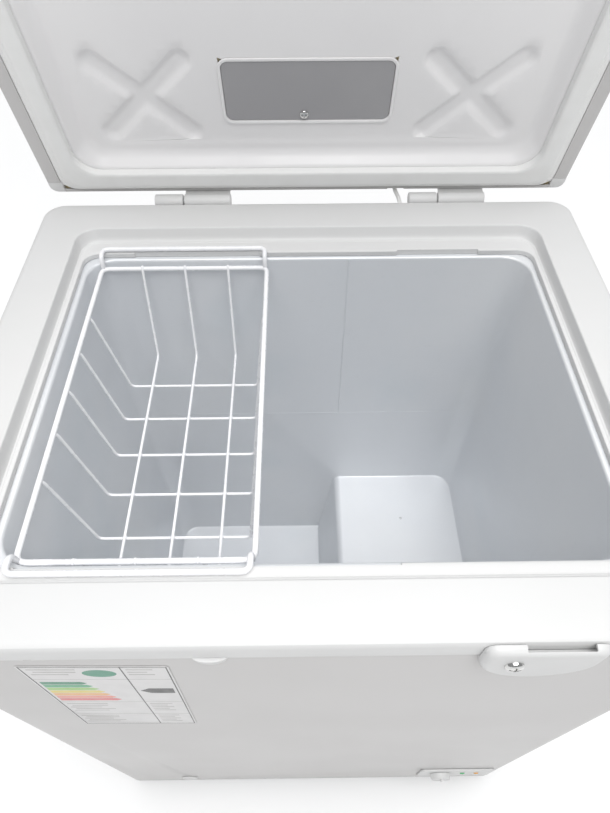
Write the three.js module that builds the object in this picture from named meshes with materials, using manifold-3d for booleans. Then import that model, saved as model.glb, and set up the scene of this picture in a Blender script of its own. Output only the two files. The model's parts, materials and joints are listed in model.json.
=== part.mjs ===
// Compact chest freezer with its lid standing open and a wire basket on the rim.
// Millimetres. X runs left to right, Y front to back, Z up from the floor.
import * as THREE from "three";
import { mergeVertices } from "three/addons/utils/BufferGeometryUtils.js";
import Module from "manifold-3d";

const wasm = await Module();
wasm.setup();

// ---------------------------------------------------------------- driving dimensions
const GAP = 0.35;               // clearance between neighbouring solids
const LEDGE_Z = 782;            // height of the ledge that carries the basket

const MOUTH = { x: 254.5, y: 186.8 };            // half size of the mouth, centred on X = Y = 0
const COLLAR = { x: 312, front: -252, back: 263, radius: 22, top: 14.3, apron: -10, wall: 2 };
const RECESS = { x: 263.3, front: -205, back: 213.6, radius: 22 };
const SHELL = { x: 309.6, front: -249.6, back: 260.6, radius: 20, wall: 1.2, bottom: 26 };
const LINER = { x: 249, y: 183, radius: 28, wall: 1.2, floor: LEDGE_Z - 681, top: LEDGE_Z - 7 };
const STEP = { foot: 22, edge: 47, top: LEDGE_Z - 489, round: 14 };
const BAY = { foot: 88, edge: 108, top: 236 };   // compressor bay under the step
const FOOT = { radius: 21, height: 25.6, x: 262, front: -205, back: 215 };
const GRILLE = { front: -150, back: 190, bottom: 60, top: 226, slots: 14 };
const PANEL = { left: 178, right: 282, bottom: 66, top: 118 };
const DRAIN = { x: -200, z: 64, plugY: -130 };
const EVAPORATOR = { turns: 6, bottom: LEDGE_Z - 400, top: LEDGE_Z - 90 };
const CONDENSER = { runs: 6, bottom: 330, top: 690 };
const PIPE_HOLES = [[128, 120], [280, 196], [270, -60], [270, -120]];
const LEAD_EXIT = { x: 111, z: LEDGE_Z - 30 };
const LIP_DROP = -6.5;
const LIP_NOTCHES = [[-199, -56, 1], [101, 194, 1], [-230, 65, -1]];

const HINGE = { y: 270, z: LEDGE_Z + 11.5, radius: 8.2, half: 45.5, split: -11, pin: 2.6 };
const HINGE_AT = { left: -138, right: 167 };
const LID_OPEN = THREE.MathUtils.degToRad(78);
const LID = { x: 308, front: -251, back: 263.5, rim: LEDGE_Z + 21.8, top: LEDGE_Z + 68, wall: 1.2 };
const HEM = { x: 292.5, front: -235.5, back: 259.4 };
const DISH = { x: 262, front: -206, back: 230 };
const LID_PANEL = { x: 251, front: -184, back: 219, z: LEDGE_Z + 38, wall: 2.4 };
const SEAL_FACE = LEDGE_Z + 14.8;
const LAMP = { half: 90, rear: 180.5, front: 108.5, radius: 10, depth: 16, screwX: -4 };
const CROSS = {
  x: 172, y: 151, reach: 60, half: 10, depth: 6, room: 68, angle: THREE.MathUtils.degToRad(43),
};

const CATCH = { left: 114, right: 200, front: -259.3, bottom: LEDGE_Z - 47, bevel: 6 };
const SLOT = { left: 141, right: 188, front: -257, back: -253, bottom: LEDGE_Z + 1.5 };
const LOCK = { x: 183, z: LEDGE_Z + 34, radius: 8, reach: 30 };
const HANDLE = { left: 108, right: 208, front: -281, bottom: LEDGE_Z + 20, top: LEDGE_Z + 62 };
const CATCH_SCREW = { x: 137, z: LEDGE_Z - 10 };
const KNOB = { x: 206, z: 92 };
const GLAND = { x: 130, z: 66 };
const LABEL = { x: -170, z: LEDGE_Z - 145, width: 110, height: 220, tilt: 1.8 };

const BASKET = {
  left: -236, right: -48, front: -178, back: 175, z: LEDGE_Z - 13, floor: LEDGE_Z - 126,
  inLeft: 20, inRight: 15, inDeep: 31, restFront: -194, restBack: 189.5, rest: LEDGE_Z + 3.2,
};
const LONG_WIRES = [-190, -141.5, -92.5];
const CROSS_WIRES = [-103.5, -53.5, -3.5, 46.5, 96.5];
const RIM_WIRE = 2.6;
const MESH_WIRE = 1.6;

// ---------------------------------------------------------------- colours
const paint = (color, roughness, metalness = 0) => ({ color, roughness, metalness });
const WHITE_STEEL = paint(0xf4f4f3, 0.35);
const WHITE_PLASTIC = paint(0xf2f2f0, 0.45);
const LID_WHITE = paint(0xe6e4e4, 0.5);
const TANK = paint(0xb9bfc6, 0.45);
const SEAL_WHITE = paint(0xe9e9e8, 0.6);
const GREY_LENS = paint(0x9a9997, 0.5);
const FOAM = paint(0xe8d9a8, 0.9);
const GALVANISED = paint(0x9a9d9f, 0.45, 0.8);
const COPPER = paint(0xb5693c, 0.4, 0.9);
const BLACK_STEEL = paint(0x1c1c1d, 0.5, 0.3);
const BLACK_PLASTIC = paint(0x202123, 0.55);
const RUBBER = paint(0x2a2a2a, 0.9);
const CHROME = paint(0xc9cbcc, 0.2, 1);
const WHITE_WIRE = paint(0xf6f6f6, 0.4);
const PAPER = paint(0xf0f0ee, 0.7);
const BOARD = paint(0xdfe3dc, 0.5);

const LAMPS = [["power_lamp", 242, paint(0x2f9e4f, 0.3)], ["running_lamp", 264, paint(0xd98a2b, 0.3)]];

// ---------------------------------------------------------------- solids
/** Turns a closed geometry into a solid that can be cut and joined. */
function toSolid(geometry) {
  const bare = geometry.clone();
  bare.deleteAttribute("normal");
  bare.deleteAttribute("uv");
  const merged = mergeVertices(bare, 1e-4);
  return new wasm.Manifold(new wasm.Mesh({
    numProp: 3,
    vertProperties: new Float32Array(merged.attributes.position.array),
    triVerts: new Uint32Array(merged.index.array),
  }));
}

/** Turns a solid back into a geometry. */
function toGeometry(solid) {
  const mesh = solid.getMesh();
  const geometry = new THREE.BufferGeometry();
  geometry.setAttribute("position", new THREE.BufferAttribute(new Float32Array(mesh.vertProperties), 3));
  geometry.setIndex(new THREE.BufferAttribute(new Uint32Array(mesh.triVerts), 1));
  return geometry;
}

const join = (...parts) => toGeometry(parts.map(toSolid).reduce((sum, part) => sum.add(part)));

const cut = (body, ...tools) =>
  toGeometry(tools.map(toSolid).reduce((rest, tool) => rest.subtract(tool), toSolid(body)));

/** A box given by its lowest and highest corners. */
function block(low, high) {
  const size = high.map((value, axis) => value - low[axis]);
  const centre = high.map((value, axis) => (value + low[axis]) / 2);
  return new THREE.BoxGeometry(...size).translate(...centre);
}

/** A cylinder with its centre at `at`, lying along X, Y or Z. */
function rod(radius, length, at, along = "z", sides = 16) {
  const geometry = new THREE.CylinderGeometry(radius, radius, length, sides);
  if (along === "x") geometry.rotateZ(-Math.PI / 2);
  if (along === "z") geometry.rotateX(Math.PI / 2);
  return geometry.translate(...at);
}

/** A turned part standing on `at`, from a profile of [radius, height] points. */
function turned(profile, at, sides = 20) {
  const points = profile.map(([radius, height]) => new THREE.Vector2(radius, height));
  return new THREE.LatheGeometry(points, sides).rotateX(Math.PI / 2).translate(...at);
}

/** A rounded rectangle between two corners, as a shape in its own plane. */
function roundedShape(x0, y0, x1, y1, radius) {
  const shape = new THREE.Shape();
  shape.moveTo(x0 + radius, y0);
  shape.lineTo(x1 - radius, y0);
  shape.absarc(x1 - radius, y0 + radius, radius, -Math.PI / 2, 0, false);
  shape.lineTo(x1, y1 - radius);
  shape.absarc(x1 - radius, y1 - radius, radius, 0, Math.PI / 2, false);
  shape.lineTo(x0 + radius, y1);
  shape.absarc(x0 + radius, y1 - radius, radius, Math.PI / 2, Math.PI, false);
  shape.lineTo(x0, y0 + radius);
  shape.absarc(x0 + radius, y0 + radius, radius, Math.PI, Math.PI * 1.5, false);
  return shape;
}

/** A shape drawn in X and Y, raised from z0 to z1. */
function raised(shape, z0, z1, curveSegments = 4) {
  return new THREE.ExtrudeGeometry(shape, { depth: z1 - z0, bevelEnabled: false, curveSegments })
    .translate(0, 0, z0);
}

/** A shape drawn in X and Z, carried from y0 back to y1. */
function carried(shape, y0, y1, curveSegments = 4) {
  return new THREE.ExtrudeGeometry(shape, { depth: y1 - y0, bevelEnabled: false, curveSegments })
    .rotateX(Math.PI / 2)
    .translate(0, y1, 0);
}

/** An upright block with rounded vertical edges. */
const pillar = (x0, y0, x1, y1, radius, z0, z1, curveSegments) =>
  raised(roundedShape(x0, y0, x1, y1, radius), z0, z1, curveSegments);

/** The points of one rounded rectangle, always the same number of them. */
function ringPoints({ x, front, back, radius, z }) {
  const steps = 4;
  const corners = [[x, back, 0], [-x, back, 1], [-x, front, 2], [x, front, 3]];
  return corners.flatMap(([cornerX, cornerY, quarter]) =>
    Array.from({ length: steps + 1 }, (_, step) => {
      const angle = (quarter + step / steps) * Math.PI / 2;
      const centreX = cornerX - Math.sign(cornerX) * radius;
      const centreY = cornerY - (cornerY === back ? radius : -radius);
      return [centreX + radius * Math.cos(angle), centreY + radius * Math.sin(angle), z];
    }));
}

/** A closed frame swept through rounded rectangles, the last one meeting the first. */
function frameLoft(rings) {
  const loops = rings.map(ringPoints);
  const count = loops[0].length;
  const index = [];
  loops.forEach((_, ring) => {
    const next = (ring + 1) % loops.length;
    for (let point = 0; point < count; point += 1) {
      const after = (point + 1) % count;
      const [a, b] = [ring * count + point, ring * count + after];
      const [c, d] = [next * count + point, next * count + after];
      index.push(a, b, d, a, d, c);
    }
  });
  return outward(loops.flat(), index);
}

/** A solid stacked through rounded rectangles and closed flat at both ends. */
function stackLoft(rings) {
  const loops = rings.map(ringPoints);
  const count = loops[0].length;
  const index = [];
  for (let ring = 0; ring < loops.length - 1; ring += 1) {
    for (let point = 0; point < count; point += 1) {
      const after = (point + 1) % count;
      const [a, b] = [ring * count + point, ring * count + after];
      index.push(a, b, b + count, a, b + count, a + count);
    }
  }
  const top = (loops.length - 1) * count;
  for (let point = 1; point < count - 1; point += 1) {
    index.push(0, point + 1, point, top, top + point, top + point + 1);
  }
  return outward(loops.flat(), index);
}

/** Builds a geometry and turns its faces outward. */
function outward(points, index) {
  const geometry = new THREE.BufferGeometry();
  geometry.setAttribute("position", new THREE.Float32BufferAttribute(points.flat(), 3));
  const corner = (slot) => new THREE.Vector3(...points[index[slot]]);
  let volume = 0;
  for (let slot = 0; slot < index.length; slot += 3) {
    volume += corner(slot).dot(corner(slot + 1).cross(corner(slot + 2)));
  }
  geometry.setIndex(volume > 0 ? index : index.toReversed());
  return geometry;
}

/** A path through listed points, sampled exactly at those points. */
class BentLine extends THREE.Curve {
  constructor(points) {
    super();
    this.points = points;
  }

  getPoint(t, target = new THREE.Vector3()) {
    const place = t * (this.points.length - 1);
    const index = Math.min(Math.floor(place), this.points.length - 2);
    return target.lerpVectors(this.points[index], this.points[index + 1], place - index);
  }

  getPointAt(u, target) {
    return this.getPoint(u, target);
  }

  getTangentAt(u, target) {
    return this.getTangent(u, target);
  }
}

/** A tube with closed ends through a list of points. */
function tube(points, radius, sides) {
  const rim = Array.from({ length: sides }, (_, i) => {
    const angle = 2 * Math.PI * (i + 0.5) / sides;
    return new THREE.Vector2(radius * Math.cos(angle), radius * Math.sin(angle));
  });
  return new THREE.ExtrudeGeometry(new THREE.Shape(rim), {
    steps: points.length - 1,
    extrudePath: new BentLine(points),
    bevelEnabled: false,
  });
}

/** A round wire or pipe along straight runs with rounded bends. */
function wire(points, radius, { bend = 8, sides = 6, bendSteps = 2 } = {}) {
  const corners = points.map((point) => new THREE.Vector3(...point));
  const path = [corners[0]];
  for (let i = 1; i < corners.length - 1; i += 1) {
    const before = corners[i - 1].clone().sub(corners[i]).setLength(bend).add(corners[i]);
    const after = corners[i + 1].clone().sub(corners[i]).setLength(bend).add(corners[i]);
    path.push(...new THREE.QuadraticBezierCurve3(before, corners[i], after).getPoints(bendSteps));
  }
  path.push(corners.at(-1));
  return tube(path, radius, sides);
}

// ---------------------------------------------------------------- assembly groups
const freezer = new THREE.Group();
const lid = new THREE.Group();
const lidFrame = new THREE.Group();
lid.position.set(0, HINGE.y, HINGE.z);
lid.rotation.x = -LID_OPEN;
lidFrame.position.set(0, -HINGE.y, -HINGE.z);
lid.add(lidFrame);
freezer.add(lid);

/** Adds a named part; parts of the lid are drawn in its closed place. */
function add(name, geometry, finish, parent = freezer) {
  const mesh = new THREE.Mesh(geometry, new THREE.MeshStandardMaterial(finish));
  mesh.name = name;
  parent.add(mesh);
}

// ---------------------------------------------------------------- cabinet skin
function addShell() {
  const { x, front, back, radius, wall, bottom } = SHELL;
  const top = LEDGE_Z + 7;
  const wrap = pillar(-x, front, x, back, radius, bottom, top);
  const inside = pillar(-x + wall, front + wall, x - wall, back - wall, radius - wall, bottom - 1, top + 1);
  const backOpening = block([-285, back - 10, bottom - 1], [285, back + 1, top + 1]);
  const vent = block([x - 20, GRILLE.front, GRILLE.bottom], [x + 5, GRILLE.back, GRILLE.top]);
  const panelHole = block([PANEL.left, front - 5, PANEL.bottom], [PANEL.right, front + 5, PANEL.top]);
  const drainHole = rod(9, 20, [DRAIN.x, front, DRAIN.z], "y");
  add("outer_shell", cut(wrap, inside, backOpening, vent, panelHole, drainHole), WHITE_STEEL);
}

function addRearPanel() {
  const { back, wall, bottom } = SHELL;
  const sheet = block([-284.6, back - wall, bottom], [284.6, back, LEDGE_Z + 7]);
  const bayOpening = block([118, back - 5, 46], [276, back + 5, 224]);
  const leadHole = rod(5, 20, [LEAD_EXIT.x, back, LEAD_EXIT.z], "y");
  add("rear_panel", cut(sheet, bayOpening, leadHole), WHITE_STEEL);
}

function addBasePan() {
  const { bottom } = SHELL;
  const outside = pillar(-308, -248, 308, 259, 18, bottom, bottom + 18);
  const inside = pillar(-306.6, -246.6, 306.6, 257.6, 16.6, bottom + 1.5, bottom + 20);
  add("base_pan", cut(outside, inside), GALVANISED);
}

function addFeet() {
  const { radius, height } = FOOT;
  const profile = [[0, 0], [radius - 4, 0], [radius, 3], [radius, 16], [15, height], [0, height]];
  for (const [side, x] of [["left", -FOOT.x], ["right", FOOT.x]]) {
    for (const end of ["front", "back"]) {
      add(`foot_${end}_${side}`, turned(profile, [x, FOOT[end], 0], 14), BLACK_PLASTIC);
    }
  }
}

function addCollar() {
  const { x, front, back, top, apron } = COLLAR;
  const outer = { x, front, back, radius: 22 };
  const inner = { x: x - 2, front: front + 2, back: back - 2, radius: 20 };
  const mouth = { x: MOUTH.x, front: -MOUTH.y, back: MOUTH.y, radius: 16 };
  const lip = { x: MOUTH.x + 2.5, front: -MOUTH.y - 2.5, back: MOUTH.y + 2.5, radius: 18 };
  const at = (ring, z) => ({ ...ring, z: LEDGE_Z + z });
  const frame = frameLoft([
    at(outer, apron),
    at(outer, 7),
    at({ x: 310.2, front: -250.2, back: 261.2, radius: 20.2 }, 12),
    at({ x: 305, front: -245, back: 256, radius: 18 }, top),
    at(RECESS, top),
    at({ x: 262.4, front: -204, back: 212, radius: 21.5 }, 5),
    at({ x: 260.4, front: -201.5, back: 208.5, radius: 20 }, 1.2),
    at({ x: 258.2, front: -198, back: 204.6, radius: 18 }, 0),
    at(mouth, 0),
    at(mouth, LIP_DROP),
    at(lip, LIP_DROP),
    at(lip, -3),
    at({ x: 261.5, front: -203, back: 211, radius: 21 }, -3),
    at({ x: 266.3, front: -208, back: 216.6, radius: 25 }, top - 3),
    at({ x: 303, front: -243, back: 254, radius: 16 }, top - 3),
    at(inner, 8),
    at(inner, apron),
  ]);
  const hingeNotches = Object.values(HINGE_AT).map((centre) => block(
    [centre - HINGE.half - 1, COLLAR.back - 2.4, HINGE.z - 9.5],
    [centre + HINGE.half + 1, COLLAR.back + 2, LEDGE_Z + 20],
  ));
  const lipNotches = LIP_NOTCHES.map(([from, to, side]) => {
    const [low, high] = [side * (MOUTH.y - 1), side * (MOUTH.y + 4)].sort((a, b) => a - b);
    return block([from, low, LEDGE_Z - 8], [to, high, LEDGE_Z + 1]);
  });
  add("top_frame", cut(frame, ...hingeNotches, ...lipNotches), WHITE_PLASTIC);
}

// ---------------------------------------------------------------- tank and insulation
/** The stepped space of the tank, from its floor up to `top`, grown outward by `grow`. */
function tankSolid(grow, top) {
  const { x, y, radius, floor } = LINER;
  const box = pillar(-x - grow, -y - grow, x + grow, y + grow, radius + grow, floor - grow, top);
  return cut(box, stepSolid(grow));
}

/** The raised step over the compressor, set back by `grow`. */
function stepSolid(grow) {
  const shape = new THREE.Shape();
  shape.moveTo(STEP.foot + grow, LINER.floor - 20);
  shape.lineTo(STEP.edge + grow - 1, STEP.top - grow - STEP.round);
  shape.quadraticCurveTo(STEP.edge + grow, STEP.top - grow, STEP.edge + STEP.round, STEP.top - grow);
  shape.lineTo(LINER.x + 40, STEP.top - grow);
  shape.lineTo(LINER.x + 40, LINER.floor - 20);
  return carried(shape, -LINER.y - 40, LINER.y + 40);
}

function addLiner() {
  const { x, y, wall, top, floor } = LINER;
  const flange = pillar(-x - 12, -y - 12, x + 12, y + 12, 34, top - wall, top);
  const tank = join(tankSolid(wall, top), flange);
  const drain = rod(10, 20, [DRAIN.x, DRAIN.plugY, floor]);
  add("liner", cut(tank, tankSolid(0, top + 10), drain), TANK);
}

/** The compressor bay under the step, with its sloped side. */
function baySolid() {
  const shape = new THREE.Shape();
  shape.moveTo(BAY.foot, 0);
  shape.lineTo(BAY.edge, BAY.top);
  shape.lineTo(400, BAY.top);
  shape.lineTo(400, 0);
  return carried(shape, -300, 300);
}

function addFoam() {
  const top = LINER.top - LINER.wall - GAP;
  const filling = pillar(-306, -246, 306, 257, 16, SHELL.bottom + 1.5 + GAP, top);
  const tank = tankSolid(LINER.wall + GAP, top + 5);
  const coilBand = pillar(-261, -195, 261, 195, 28, EVAPORATOR.bottom - 12, EVAPORATOR.top + 12);
  const outerBand = pillar(-330, -270, 330, 205, 20, CONDENSER.bottom - 10, CONDENSER.top + 10);
  const innerBand = pillar(-301, -241, 301, 300, 24, CONDENSER.bottom - 20, CONDENSER.top + 20);
  const pipeHoles = PIPE_HOLES.map(([x, y]) => rod(6, 40, [x, y, BAY.top + 15], "z", 10));
  const drain = rod(9.5, 50, [DRAIN.x, DRAIN.plugY, DRAIN.z + 17]);
  const drainFront = rod(9, 140, [DRAIN.x, DRAIN.plugY - 62, DRAIN.z], "y");
  add("insulation_foam", cut(filling, tank, coilBand, cut(outerBand, innerBand), baySolid(),
    ...pipeHoles, drain, drainFront), FOAM);
}

function addEvaporator() {
  const { turns, bottom, top } = EVAPORATOR;
  const [x, y] = [LINER.x + 7.5, LINER.y + 7.5];
  const corners = [[x, -y], [x, y], [-x, y], [-x, -y]];
  const rise = (top - bottom) / (turns * 4);
  const bends = Array.from({ length: turns * 4 }, (_, i) => [...corners[i % 4], bottom + (i + 0.5) * rise]);
  const points = [[0, -y, bottom], ...bends, [0, -y, top]];
  add("evaporator_coil", wire(points, 3, { bend: 26, sides: 5, bendSteps: 1 }), COPPER);
}

function addCondenser() {
  const { runs, bottom, top } = CONDENSER;
  const [x, front, back] = [305, -245, 196];
  const points = [];
  for (let run = 0; run < runs; run += 1) {
    const z = bottom + (top - bottom) * run / (runs - 1);
    const row = [[x, back, z], [x, front, z], [-x, front, z], [-x, back, z]];
    points.push(...(run % 2 ? row.reverse() : row));
  }
  add("condenser_coil", wire(points, 2.4, { bend: 16, sides: 5, bendSteps: 1 }), COPPER);
}

function addDrain() {
  const plug = turned([[0, 3.5], [3, 3.5], [3, 9], [0, 9]], [DRAIN.x, DRAIN.plugY, LINER.floor], 10);
  const cover = turned([[0, -6], [8, -6], [8.6, 0.4], [13, 0.8], [13, 2.6], [8, 4], [0, 4]],
    [DRAIN.x, DRAIN.plugY, LINER.floor], 14);
  add("drain_stopper", join(cover, plug), WHITE_PLASTIC);
  const cap = turned([[0, -12], [8, -12], [8, 0], [13, 0], [12, 2.2], [0, 2.6]], [0, 0, 0], 14)
    .rotateX(Math.PI / 2).translate(DRAIN.x, SHELL.front - GAP, DRAIN.z);
  const bore = rod(6.5, 20, [DRAIN.x, SHELL.front + 10, DRAIN.z], "y", 18);
  add("drain_cap", cut(cap, bore), WHITE_PLASTIC);
}

// ---------------------------------------------------------------- compressor bay
const PUMP = { x: 205, y: 70, radius: 60, footX: 72, footY: 58 };

function addCompressor() {
  const { x, y, radius, footX, footY } = PUMP;
  const railTop = 31;
  add("compressor_rail", block([x - 92, y - 70, 28], [x + 92, y + 70, railTop]), GALVANISED);
  const plate = pillar(x - footX - 10, y - footY - 8, x + footX + 10, y + footY + 8, 14, 45.8, 48.4);
  const body = turned([[0, 47], [46, 47], [radius - 4, 56], [radius, 72], [radius, 132], [radius - 8, 154],
    [radius - 26, 168], [0, 173]], [x, y, 0], 20);
  add("compressor", join(plate, body), BLACK_STEEL);
  const grommet = [[0, 0], [9, 0], [6.5, 7], [9, 14], [0, 14]];
  for (const [end, sideY] of [["front", -1], ["back", 1]]) {
    for (const [side, sideX] of [["left", -1], ["right", 1]]) {
      const place = [x + sideX * footX, y + sideY * footY, railTop + GAP];
      add(`compressor_grommet_${end}_${side}`, turned(grommet, place, 10), RUBBER);
    }
  }
  const front = y - radius - GAP;
  const relay = pillar(x - 26, front - 30, x + 26, front, 5, 84, 130);
  add("start_relay_cover", relay, BLACK_PLASTIC);
}

function addPipes() {
  const { x, y, radius } = PUMP;
  const hole = BAY.top + 22;
  const [suction, discharge, capillary, liquid] = PIPE_HOLES;
  const back = y + radius + GAP;
  const left = x - radius - GAP;
  add("suction_line", wire([[left, y, 112], [suction[0], y, 112], [suction[0], y, 190],
    [...suction, 190], [...suction, hole]], 4, { bend: 10, sides: 8 }), COPPER);
  add("discharge_line", wire([[x, back, 104], [x, discharge[1], 104], [x, discharge[1], 200],
    [...discharge, 200], [...discharge, hole]], 3, { bend: 14, sides: 8 }), COPPER);
  const capsule = turned([[0, 0], [3, 0], [9, 10], [9, 70], [3, 82], [0, 82]], [...capillary, 110], 14);
  add("filter_drier", capsule, COPPER);
  add("liquid_line", wire([[...capillary, 110 - GAP], [...capillary, 72], [...liquid, 72],
    [...liquid, hole]], 2.5, { bend: 12 }), COPPER);
}

/** A row of upright slots through a plate; `at` gives each slot from its centre line. */
function slots(count, from, to, at) {
  return Array.from({ length: count }, (_, i) => at(from + (to - from) * (i + 0.5) / count));
}

function addVents() {
  const { front, back, bottom, top } = GRILLE;
  const side = block([SHELL.x + GAP, front - 8, bottom - 8], [COLLAR.x - 0.1, back + 8, top + 8]);
  const sideSlots = slots(GRILLE.slots, front, back, (y) =>
    block([SHELL.x - 5, y - 5, bottom + 6], [COLLAR.x + 5, y + 5, top - 6]));
  add("side_grille", cut(side, ...sideSlots), WHITE_PLASTIC);
  const [left, right] = [110, 284];
  const cover = block([left, SHELL.back + GAP, 38], [right, COLLAR.back - 0.4, 232]);
  const coverSlots = slots(9, left + 16, right - 8, (x) =>
    block([x - 4, SHELL.back - 5, 96], [x + 4, COLLAR.back + 5, 206]));
  const glandHole = rod(6.5, 20, [GLAND.x, SHELL.back, GLAND.z], "y");
  add("bay_cover", cut(cover, ...coverSlots, glandHole), GALVANISED);
  const gland = join(rod(8.5, 6, [GLAND.x, COLLAR.back + 3, GLAND.z], "y"),
    rod(6, 16, [GLAND.x, COLLAR.back - 4, GLAND.z], "y"));
  add("cord_gland", gland, BLACK_PLASTIC);
}

function addControls() {
  const { left, right, bottom, top } = PANEL;
  const front = SHELL.front - GAP;
  const plate = carried(roundedShape(left - 6, bottom - 6, right + 6, top + 6, 8), front - 2.2, front);
  const outside = roundedShape(left + 0.6, bottom + 0.6, right - 0.6, top - 0.6, 4);
  const inside = roundedShape(left + 2.6, bottom + 2.6, right - 2.6, top - 2.6, 3);
  const tray = carried(outside, front - 0.5, front + 20);
  const hollow = carried(inside, front + 1, front + 30);
  const shaftHole = rod(4.2, 20, [KNOB.x, front, KNOB.z], "y");
  const lampHoles = LAMPS.map(([, x]) => rod(4.4, 20, [x, front, KNOB.z], "y", 12));
  add("control_panel", cut(join(plate, tray), hollow, shaftHole, ...lampHoles), WHITE_PLASTIC);

  const faced = (profile, x, sides) => turned(profile, [0, 0, 0], sides)
    .rotateX(Math.PI / 2).translate(x, front, KNOB.z);
  for (const [name, x, finish] of LAMPS) {
    add(name, faced([[0, -10], [4, -10], [4, 2.6], [3, 3.6], [0, 4]], x, 12), finish);
  }
  const knob = faced([[0, -21], [3, -21], [3, 2.6], [16, 2.6], [16, 6], [14, 11.5], [0, 12.5]], KNOB.x, 24);
  const pointer = block([KNOB.x - 1.4, front - 14, KNOB.z + 2], [KNOB.x + 1.4, front - 10, KNOB.z + 13]);
  add("thermostat_knob", join(knob, pointer), WHITE_PLASTIC);
  const behind = front + 21.5;
  add("thermostat_body", block([KNOB.x - 17, behind, KNOB.z - 15], [KNOB.x + 17, behind + 26, KNOB.z + 15]),
    GALVANISED);
}

// ---------------------------------------------------------------- collar fittings
function addCatch() {
  const { left, right, front, bottom, bevel } = CATCH;
  const top = LEDGE_Z + COLLAR.top;
  const radiusX = (right - left) / 2 - bevel;
  const middle = (left + right) / 2;
  const shape = new THREE.Shape();
  shape.moveTo(left + bevel, top - bevel);
  shape.lineTo(left + bevel, LEDGE_Z - 12);
  shape.absellipse(middle, LEDGE_Z - 12, radiusX, LEDGE_Z - 12 - bottom, Math.PI, 2 * Math.PI, false);
  shape.lineTo(right - bevel, top - bevel);
  const plate = new THREE.ExtrudeGeometry(shape, {
    depth: 20, curveSegments: 8, bevelThickness: bevel, bevelSize: bevel, bevelSegments: 2,
  }).rotateX(Math.PI / 2).translate(0, front + 20 + bevel, 0);
  const behindShell = block([left - 20, SHELL.front - GAP, bottom - 40], [right + 20, front + 60, top + 20]);
  const behindApron = block([left - 20, COLLAR.front - GAP, LEDGE_Z + COLLAR.apron - GAP],
    [right + 20, front + 60, top + 20]);
  const opening = block([SLOT.left, SLOT.front, SLOT.bottom], [SLOT.right, SHELL.front, top + 20]);
  const pocket = block([SLOT.left, SLOT.front, SLOT.bottom], [CATCH.right - 5, SHELL.front, top - 3]);
  add("lock_catch", cut(plate, behindShell, behindApron, opening, pocket), WHITE_PLASTIC);
  const screw = turned([[0, 0], [7, 0], [6.6, 1.4], [4, 2.6], [0, 3]], [0, 0, 0], 18)
    .rotateX(Math.PI / 2).translate(CATCH_SCREW.x, front - GAP, CATCH_SCREW.z);
  add("catch_screw", screw, CHROME);
}

function addApronClip() {
  const dome = new THREE.SphereGeometry(1, 12, 8).scale(13.5, 5.4, 16)
    .translate(-77, SHELL.front, LEDGE_Z + COLLAR.apron);
  const above = block([-100, -260, LEDGE_Z + COLLAR.apron - GAP], [-50, -240, LEDGE_Z + 20]);
  const behind = block([-100, SHELL.front - GAP, LEDGE_Z - 60], [-50, -230, LEDGE_Z + 20]);
  add("apron_clip", cut(dome, above, behind), WHITE_PLASTIC);
}

function addLabel() {
  const { x, z, width, height, tilt } = LABEL;
  const label = new THREE.BoxGeometry(width, 0.4, height)
    .rotateY(THREE.MathUtils.degToRad(tilt))
    .translate(x, SHELL.front - 0.4, z);
  add("energy_label", label, PAPER);
}

// ---------------------------------------------------------------- hinges
function addHinge(side, centre) {
  const { y, z, radius, half, split, pin } = HINGE;
  const sides = 16;
  const between = (low, high, r) => rod(r, high - low, [centre + (low + high) / 2, y, z], "x", sides);
  const bore = between(-half + 1.5, half - 1.5, pin + 0.4);
  const tail = block(
    [centre - half + 1, COLLAR.back + GAP, LEDGE_Z - 70],
    [centre + split - 1, y - 3, z - 2],
  );
  const foot = block([centre - half + 1, SHELL.back + GAP, LEDGE_Z - 70],
    [centre + split - 1, y - 3, LEDGE_Z + COLLAR.apron - 4]);
  add(`hinge_base_${side}`, cut(join(between(-half, split - 0.6, radius), tail, foot), bore), WHITE_PLASTIC);
  const arm = block([centre + split + 2, LID.back + GAP, z], [centre + half - 1, LID.back + 3.4, z + 42]);
  const springRoom = between(split + 5, half - 7, 6.4);
  add(`hinge_arm_${side}`, cut(join(between(split + 0.6, half, radius), arm), bore, springRoom),
    WHITE_PLASTIC, lidFrame);
  add(`hinge_pin_${side}`, between(-half + 2, half - 2, pin), GALVANISED);
  addHingeSpring(side, centre + split + 8, centre + half - 10);
}

function addHingeSpring(side, from, to) {
  const [turns, steps] = [5, 7];
  const points = Array.from({ length: turns * steps + 1 }, (_, i) => {
    const angle = 2 * Math.PI * i / steps;
    const x = from + (to - from) * i / (turns * steps);
    return new THREE.Vector3(x, HINGE.y + 4.7 * Math.cos(angle), HINGE.z + 4.7 * Math.sin(angle));
  });
  add(`hinge_spring_${side}`, tube(points, 0.9, 4), GALVANISED, lidFrame);
}

/** The point of the open lid that stands at (y, z) when the lid is closed. */
function opened(y, z) {
  const [dy, dz] = [y - HINGE.y, z - HINGE.z];
  const [cos, sin] = [Math.cos(LID_OPEN), Math.sin(LID_OPEN)];
  return [HINGE.y + dy * cos + dz * sin, HINGE.z - dy * sin + dz * cos];
}

function addLampLead() {
  const { x, z } = LEAD_EXIT;
  const inside = [x - 6, ...opened(LID.back - 5, LEDGE_Z + 30)];
  const outside = [x - 5.5, ...opened(LID.back + 6, LEDGE_Z + 30)];
  const points = [inside, outside, [x + 1, 276, LEDGE_Z + 8], [x + 4, 267.5, LEDGE_Z - 6],
    [x + 3, 266.5, LEDGE_Z - 18], [x, 264, z], [x, 257.4, z]];
  const route = new THREE.CatmullRomCurve3(points.map((point) => new THREE.Vector3(...point)));
  add("lamp_lead", tube(route.getSpacedPoints(14), 2.6, 8), SEAL_WHITE);
}

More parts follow.
